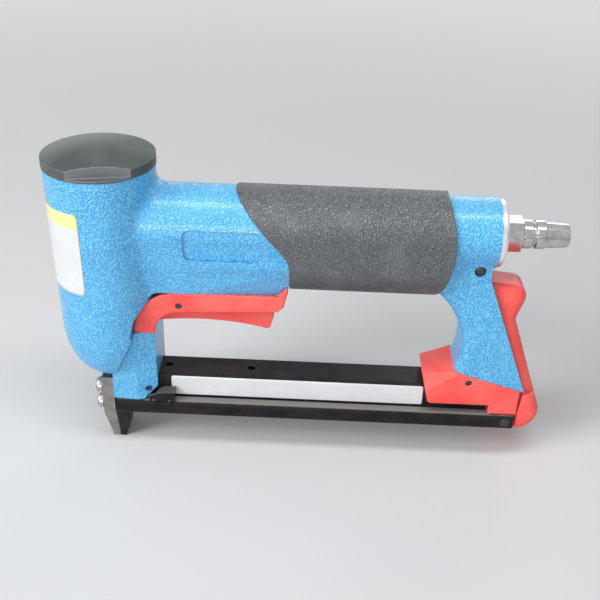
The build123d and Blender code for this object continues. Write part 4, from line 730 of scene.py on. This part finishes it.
class StaplerSizes(bpy.types.PropertyGroup):
    """Sizes of the pieces and patterns added to the model."""

    hammer_size: length("Hammer Size", "Width of one dimple of the hammertone paint", 0.9 * MM)
    grain_size: length("Grain Size", "Width of one pebble of the grip's leather grain", 1.3 * MM)
    flat_foot: length("Flat Foot", "Height of the lower edge of the cap's wrench flats", 142.9 * MM)
    flat_turn: degrees("Flat Turn", "Way the wrench flats face", 102.0)
    film: length("Film", "Thickness of the label and the sticker", 0.12 * MM)
    wall: length("Magazine Wall", "How far the magazine's side stands from the middle", 8.4 * MM)
    wall_bend: length("Magazine Bend", "Radius of the bend at the magazine's top", 1.6 * MM)
    label_front: length("Label Front", "Front end of the magazine label", 27.9 * MM)
    label_rear: length("Label Rear", "Rear end of the magazine label", 148.3 * MM)
    label_foot: length("Label Foot", "Height of the label's lower edge", 27.4 * MM)
    label_head: length("Label Head", "Height of the label's upper edge", 37.7 * MM)
    label_corner: length("Label Corner", "Corner radius of the magazine label", 0.8 * MM)
    sticker_foot: length("Sticker Foot", "Height of the head sticker's lower edge", 88.0 * MM)
    sticker_head: length("Sticker Head", "Height of the head sticker's upper edge", 127.3 * MM)
    sticker_band: length("Sticker Band", "Height of the yellow band along the sticker's top", 7.0 * MM)
    sticker_corner: length("Sticker Corner", "Corner radius of the head sticker", 2.0 * MM)
    sticker_half: degrees("Sticker Half Angle", "How far the sticker reaches to each side", 77.0)
    pusher_wire: length("Pusher Spring Wire", "Wire thickness of the pusher's spring", 0.7 * MM)
    pusher_turns: turn_count("Pusher Spring Turns", "Turns of the pusher's spring", 36)
    head_wire: length("Head Valve Spring Wire", "Wire thickness of the head valve's spring", 1.2 * MM)
    head_turns: turn_count("Head Valve Spring Turns", "Turns of the head valve's spring", 5)
    valve_wire: length("Trigger Valve Spring Wire", "Wire thickness of the trigger valve's spring", 0.5 * MM)
    valve_turns: turn_count("Trigger Valve Spring Turns", "Turns of the trigger valve's spring", 6)
    latch_wire: length("Latch Spring Wire", "Wire thickness of the latch spring", 1.0 * MM)
    latch_turns: turn_count("Latch Spring Turns", "Turns of the latch spring", 5)


class StaplerStage(bpy.types.PropertyGroup):
    """Floor, light and camera."""

    floor: tone("Floor", "Pale floor under the stapler", (0.700, 0.706, 0.712))
    backdrop: tone("Backdrop", "Pale backdrop that the floor fades into", (0.680, 0.694, 0.708))
    key_power: lamp_power("Key Power", "Large soft lamp at the upper left front", 20.5)
    front_power: lamp_power("Front Power", "Low soft lamp in front", 3.1)
    top_power: lamp_power("Top Power", "Long soft lamp above and a little in front", 2.7)
    back_power: lamp_power("Back Power", "Low soft lamp behind", 3.4)
    rim_power: lamp_power("Rim Power", "Long low lamp behind the head", 1.3)
    sky: bpy.props.FloatProperty(
        name="Sky",
        description="Share of the backdrop's light that falls on the stapler",
        subtype="FACTOR",
        default=0.36,
    )
    lens: bpy.props.FloatProperty(
        name="Lens",
        description="Focal length on a 36 mm sensor",
        subtype="DISTANCE_CAMERA",
        default=54.0,
    )


# Operators

class STAPLER_OT_paint_body(bpy.types.Operator):
    """Paint the body casting in blue hammertone"""

    bl_idname = "stapler.paint_body"
    bl_label = "Paint Body"

    def execute(self, context):
        scene = context.scene
        dress(hammertone_paint(scene.stapler_colours, scene.stapler_sizes), *nodes_of("blue_hammertone"))
        return {"FINISHED"}


class STAPLER_OT_finish_cap(bpy.types.Operator):
    """Give the head cap its black anodised finish"""

    bl_idname = "stapler.finish_cap"
    bl_label = "Finish Head Cap"

    def execute(self, context):
        sizes = context.scene.stapler_sizes
        cap = anodised_black(context.scene.stapler_colours, sizes.flat_turn, sizes.flat_foot)
        dress(cap, *nodes_of("cap_black"))
        return {"FINISHED"}


class STAPLER_OT_finish_grip(bpy.types.Operator):
    """Give the grip its leather-grained rubber"""

    bl_idname = "stapler.finish_grip"
    bl_label = "Finish Grip"

    def execute(self, context):
        scene = context.scene
        dress(grained_rubber(scene.stapler_colours, scene.stapler_sizes), *nodes_of("grip_rubber"))
        return {"FINISHED"}


class STAPLER_OT_finish_red(bpy.types.Operator):
    """Give the trigger, its housing, the tail and the latch lever their red plastic"""

    bl_idname = "stapler.finish_red"
    bl_label = "Finish Red Pieces"

    def execute(self, context):
        dress(moulded_red(context.scene.stapler_colours), *nodes_of("red_plastic"))
        return {"FINISHED"}


class STAPLER_OT_finish_magazine(bpy.types.Operator):
    """Give the magazine and its slide their black oxide"""

    bl_idname = "stapler.finish_magazine"
    bl_label = "Finish Magazine"

    def execute(self, context):
        settings = context.scene.stapler_colours
        fixed = black_oxide(settings, "black_oxide_steel", wear=0.5, rubbed=0.0)
        dress(fixed, *nodes_of("black_oxide_steel"))
        # The slide's upward faces carry a strong painted sheen; the clips' a faint one.
        slide = black_oxide(settings, "slide_steel_top_sheen", wear=0.6, rubbed=0.75)
        dress(slide, "slide_channel")
        clips = black_oxide(settings, "worn_clip_steel_top_sheen", wear=1.0, rubbed=0.30)
        dress(clips, "guide_clips")
        return {"FINISHED"}


class STAPLER_OT_finish_nose(bpy.types.Operator):
    """Give the nose plates their ground steel"""

    bl_idname = "stapler.finish_nose"
    bl_label = "Finish Nose"

    def execute(self, context):
        dress(ground_steel(context.scene.stapler_colours), *nodes_of("nose_steel"))
        return {"FINISHED"}


class STAPLER_OT_finish_metal(bpy.types.Operator):
    """Give the screws, pins, air plug and turned pieces their plating"""

    bl_idname = "stapler.finish_metal"
    bl_label = "Finish Small Metal"

    def execute(self, context):
        zinc = plated_metal(
            "zinc_plated_steel", bright=(0.55, 0.55, 0.53), dull=(0.40, 0.40, 0.40), smooth=0.24, rough=0.42
        )
        dress(zinc, *nodes_of("zinc_steel"))
        dark = plated_metal(
            "dark_steel_pins", bright=(0.10, 0.10, 0.105), dull=(0.06, 0.06, 0.062), smooth=0.28, rough=0.42
        )
        dress(dark, *nodes_of("dark_steel"))
        nickel = plated_metal(
            "nickel_plated_brass",
            bright=(0.62, 0.61, 0.60),
            dull=(0.46, 0.445, 0.43),
            smooth=0.08,
            rough=0.20,
            grain=0.4 * MM,
            stretch=LATHE_MARKS,
        )
        dress(nickel, *nodes_of("nickel"))
        bright = plated_metal(
            "turned_aluminium",
            bright=(0.95, 0.96, 0.97),
            dull=(0.86, 0.88, 0.90),
            smooth=0.22,
            rough=0.36,
            grain=0.4 * MM,
            stretch=LATHE_MARKS,
        )
        dress(bright, *nodes_of("bright_aluminium"))
        brass = plated_metal(
            "turned_brass", bright=(0.70, 0.52, 0.22), dull=(0.55, 0.40, 0.17), smooth=0.20, rough=0.34
        )
        dress(brass, *nodes_of("brass_turned"))
        return {"FINISHED"}


class STAPLER_OT_finish_inside(bpy.types.Operator):
    """Give the seals, the bumper and the moulded inner pieces their rubber and plastic"""

    bl_idname = "stapler.finish_inside"
    bl_label = "Finish Inner Pieces"

    def execute(self, context):
        seal = plain_moulding("seal_rubber", (0.020, 0.020, 0.021), (0.034, 0.034, 0.035), rough=0.42)
        dress(seal, *nodes_of("seal_rubber"))
        bumper = plain_moulding("bumper_polyurethane", (0.62, 0.40, 0.12), (0.50, 0.31, 0.09), rough=0.38)
        dress(bumper, *nodes_of("bumper_rubber"))
        acetal = plain_moulding("white_acetal", (0.74, 0.74, 0.71), (0.66, 0.66, 0.63), rough=0.40)
        dress(acetal, *nodes_of("white_acetal"))
        return {"FINISHED"}


class STAPLER_OT_wind_springs(bpy.types.Operator):
    """Wind the coil springs of the pusher, the head valve, the trigger valve and the latch"""

    bl_idname = "stapler.wind_springs"
    bl_label = "Wind Springs"

    def execute(self, context):
        sizes = context.scene.stapler_sizes
        x, y, z = range(3)
        springs = {
            "pusher_spring": ("loading_slide", "pusher_travel", x, sizes.pusher_wire, sizes.pusher_turns),
            "head_valve_spring": ("tool", "head_valve_lift", z, sizes.head_wire, sizes.head_turns),
            "valve_spring": ("tool", "valve_stem_lift", z, sizes.valve_wire, sizes.valve_turns),
            "latch_spring": ("loading_slide", None, y, sizes.latch_wire, sizes.latch_turns),
        }
        steel = plated_metal(
            "spring_wire", bright=(0.42, 0.42, 0.43), dull=(0.28, 0.28, 0.29), smooth=0.22, rough=0.36
        )
        for node, (body, joint, axis, wire, turns) in springs.items():
            spring = wound_spring(node.replace("spring", "coil"), node, axis, wire, turns)
            spring.data.materials.append(steel)
            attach(spring, body)
            if joint:
                close_up(spring, node, joint, axis)
            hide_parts(node)
        return {"FINISHED"}


class STAPLER_OT_add_label(bpy.types.Operator):
    """Add the bare label on the side of the magazine"""

    bl_idname = "stapler.add_label"
    bl_label = "Add Magazine Label"

    def execute(self, context):
        sizes = context.scene.stapler_sizes
        height = sizes.label_head - sizes.label_foot
        bend_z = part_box("fixed_magazine")[1][2] - sizes.wall_bend

        def place(u, v, lift):
            z = sizes.label_foot + v * height
            front, rear = rounded_limits(
                v * height, height, sizes.label_front, sizes.label_rear, sizes.label_corner
            )
            out = LABEL_GAP + lift * sizes.film
            lean = math.asin(max(0.0, z - bend_z) / sizes.wall_bend)
            y = sizes.wall_bend - sizes.wall - (sizes.wall_bend + out) * math.cos(lean)
            return (front + u * (rear - front), y, z + out * math.sin(lean))

        label = film_piece("magazine_label", LABEL_COLUMNS, LABEL_ROWS, place)
        label.data.materials.append(label_film(context.scene.stapler_colours))
        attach(label, "tool")
        return {"FINISHED"}


class STAPLER_OT_add_sticker(bpy.types.Operator):
    """Add the bare sticker round the front of the head"""

    bl_idname = "stapler.add_sticker"
    bl_label = "Add Head Sticker"

    def execute(self, context):
        sizes = context.scene.stapler_sizes
        span = 2 * sizes.sticker_half
        around = span * head_radius(sizes.sticker_head)

        def place(u, v, lift):
            low, high = rounded_limits(
                u * around, around, sizes.sticker_foot, sizes.sticker_head, sizes.sticker_corner
            )
            z = low + v * (high - low)
            angle = math.pi - sizes.sticker_half + u * span
            radius = head_radius(z) + STICKER_GAP + lift * sizes.film
            return (radius * math.cos(angle), radius * math.sin(angle), z)

        sticker = film_piece("head_sticker", STICKER_COLUMNS, STICKER_ROWS, place, smooth=True)
        band_foot = sizes.sticker_head - sizes.sticker_band
        sticker.data.materials.append(sticker_film(context.scene.stapler_colours, band_foot))
        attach(sticker, "tool")
        return {"FINISHED"}


def soft_lamp(name, power, width, height, place):
    """Soft lamp of a width and a height that faces the stapler."""
    data = bpy.data.lights.new(name, "AREA")
    data.shape = "RECTANGLE"
    data.size = width
    data.size_y = height
    data.energy = power
    lamp = add_object(name, data)
    lamp.location = place
    lamp.rotation_euler = (Vector(LAMP_TARGET) - Vector(place)).to_track_quat("-Z", "Y").to_euler()


def photo_camera(lens):
    """Camera where the photographer stood."""
    ahead = Vector((
        math.sin(CAMERA_YAW) * math.cos(CAMERA_PITCH),
        math.cos(CAMERA_YAW) * math.cos(CAMERA_PITCH),
        -math.sin(CAMERA_PITCH),
    ))
    level = Vector((math.cos(CAMERA_YAW), -math.sin(CAMERA_YAW), 0.0))
    upright = level.cross(ahead)
    right = level * math.cos(CAMERA_ROLL) + upright * math.sin(CAMERA_ROLL)
    up = upright * math.cos(CAMERA_ROLL) - level * math.sin(CAMERA_ROLL)
    data = bpy.data.cameras.new("photo_camera")
    data.sensor_width = SENSOR_WIDTH
    data.lens = lens
    data.clip_start = NEAREST_SEEN
    camera = add_object("photo_camera", data)
    turn = Matrix((right, up, -ahead)).transposed().to_4x4()
    camera.matrix_world = Matrix.Translation(CAMERA_PLACE) @ turn
    bpy.context.scene.camera = camera


class STAPLER_OT_set_stage(bpy.types.Operator):
    """Set the floor, the lamps, the sky and the camera"""

    bl_idname = "stapler.set_stage"
    bl_label = "Set Stage"

    def execute(self, context):
        scene = context.scene
        settings = scene.stapler_stage
        mesh = bpy.data.meshes.new("floor")
        low, high = -FLOOR_HALF, FLOOR_HALF
        corners = [(low, low, 0), (high, low, 0), (high, high, 0), (low, high, 0)]
        mesh.from_pydata(corners, [], [(0, 1, 2, 3)])
        mesh.materials.append(pale_floor(settings))
        floor = add_object("floor", mesh)
        floor.location.z = CAD_BOX[0][2] - FLOOR_GAP
        soft_lamp("key_lamp", settings.key_power, width=0.72, height=0.72, place=(-1.14, -0.83, 0.94))
        soft_lamp("front_lamp", settings.front_power, width=0.56, height=0.30, place=(-0.13, -1.20, 0.16))
        soft_lamp("top_lamp", settings.top_power, width=0.60, height=0.18, place=(0.10, -0.20, 0.80))
        soft_lamp("back_lamp", settings.back_power, width=0.75, height=0.75, place=(0.63, 1.28, 0.59))
        soft_lamp("rim_lamp", settings.rim_power, width=0.70, height=0.30, place=(-0.50, 1.30, 0.42))
        scene.world = pale_sky(settings)
        scene.view_settings.view_transform = "Standard"
        photo_camera(settings.lens)
        return {"FINISHED"}


STEPS = (
    STAPLER_OT_paint_body,
    STAPLER_OT_finish_cap,
    STAPLER_OT_finish_grip,
    STAPLER_OT_finish_red,
    STAPLER_OT_finish_magazine,
    STAPLER_OT_finish_nose,
    STAPLER_OT_finish_metal,
    STAPLER_OT_finish_inside,
    STAPLER_OT_wind_springs,
    STAPLER_OT_add_label,
    STAPLER_OT_add_sticker,
    STAPLER_OT_set_stage,
)


class STAPLER_PT_dressing(bpy.types.Panel):
    """Sizes, colours and steps of the stapler's dressing"""

    bl_idname = "STAPLER_PT_dressing"
    bl_label = "Stapler Dressing"
    bl_space_type = "VIEW_3D"
    bl_region_type = "UI"
    bl_category = "Stapler"

    def draw(self, context):
        layout = self.layout
        scene = context.scene
        for group in (scene.stapler_colours, scene.stapler_sizes, scene.stapler_stage):
            box = layout.box()
            for name in group.__annotations__:
                box.prop(group, name)
        for step in STEPS:
            layout.operator(step.bl_idname)


GROUPS = (StaplerColours, StaplerSizes, StaplerStage)


def register():
    """Tell Blender about the settings, the steps and the panel."""
    for group in GROUPS:
        bpy.utils.register_class(group)
    bpy.types.Scene.stapler_colours = bpy.props.PointerProperty(type=StaplerColours)
    bpy.types.Scene.stapler_sizes = bpy.props.PointerProperty(type=StaplerSizes)
    bpy.types.Scene.stapler_stage = bpy.props.PointerProperty(type=StaplerStage)
    for step in STEPS:
        bpy.utils.register_class(step)
    bpy.utils.register_class(STAPLER_PT_dressing)


def unregister():
    """Take the panel, the steps and the settings out of Blender again."""
    bpy.utils.unregister_class(STAPLER_PT_dressing)
    for step in reversed(STEPS):
        bpy.utils.unregister_class(step)
    del bpy.types.Scene.stapler_stage
    del bpy.types.Scene.stapler_sizes
    del bpy.types.Scene.stapler_colours
    for group in reversed(GROUPS):
        bpy.utils.unregister_class(group)


def main():
    """Dress the stapler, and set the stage."""
    register()
    bpy.ops.stapler.paint_body()
    bpy.ops.stapler.finish_cap()
    bpy.ops.stapler.finish_grip()
    bpy.ops.stapler.finish_red()
    bpy.ops.stapler.finish_magazine()
    bpy.ops.stapler.finish_nose()
    bpy.ops.stapler.finish_metal()
    bpy.ops.stapler.finish_inside()
    bpy.ops.stapler.wind_springs()
    bpy.ops.stapler.add_label()
    bpy.ops.stapler.add_sticker()
    bpy.ops.stapler.set_stage()


if __name__ == "__main__":
    main()
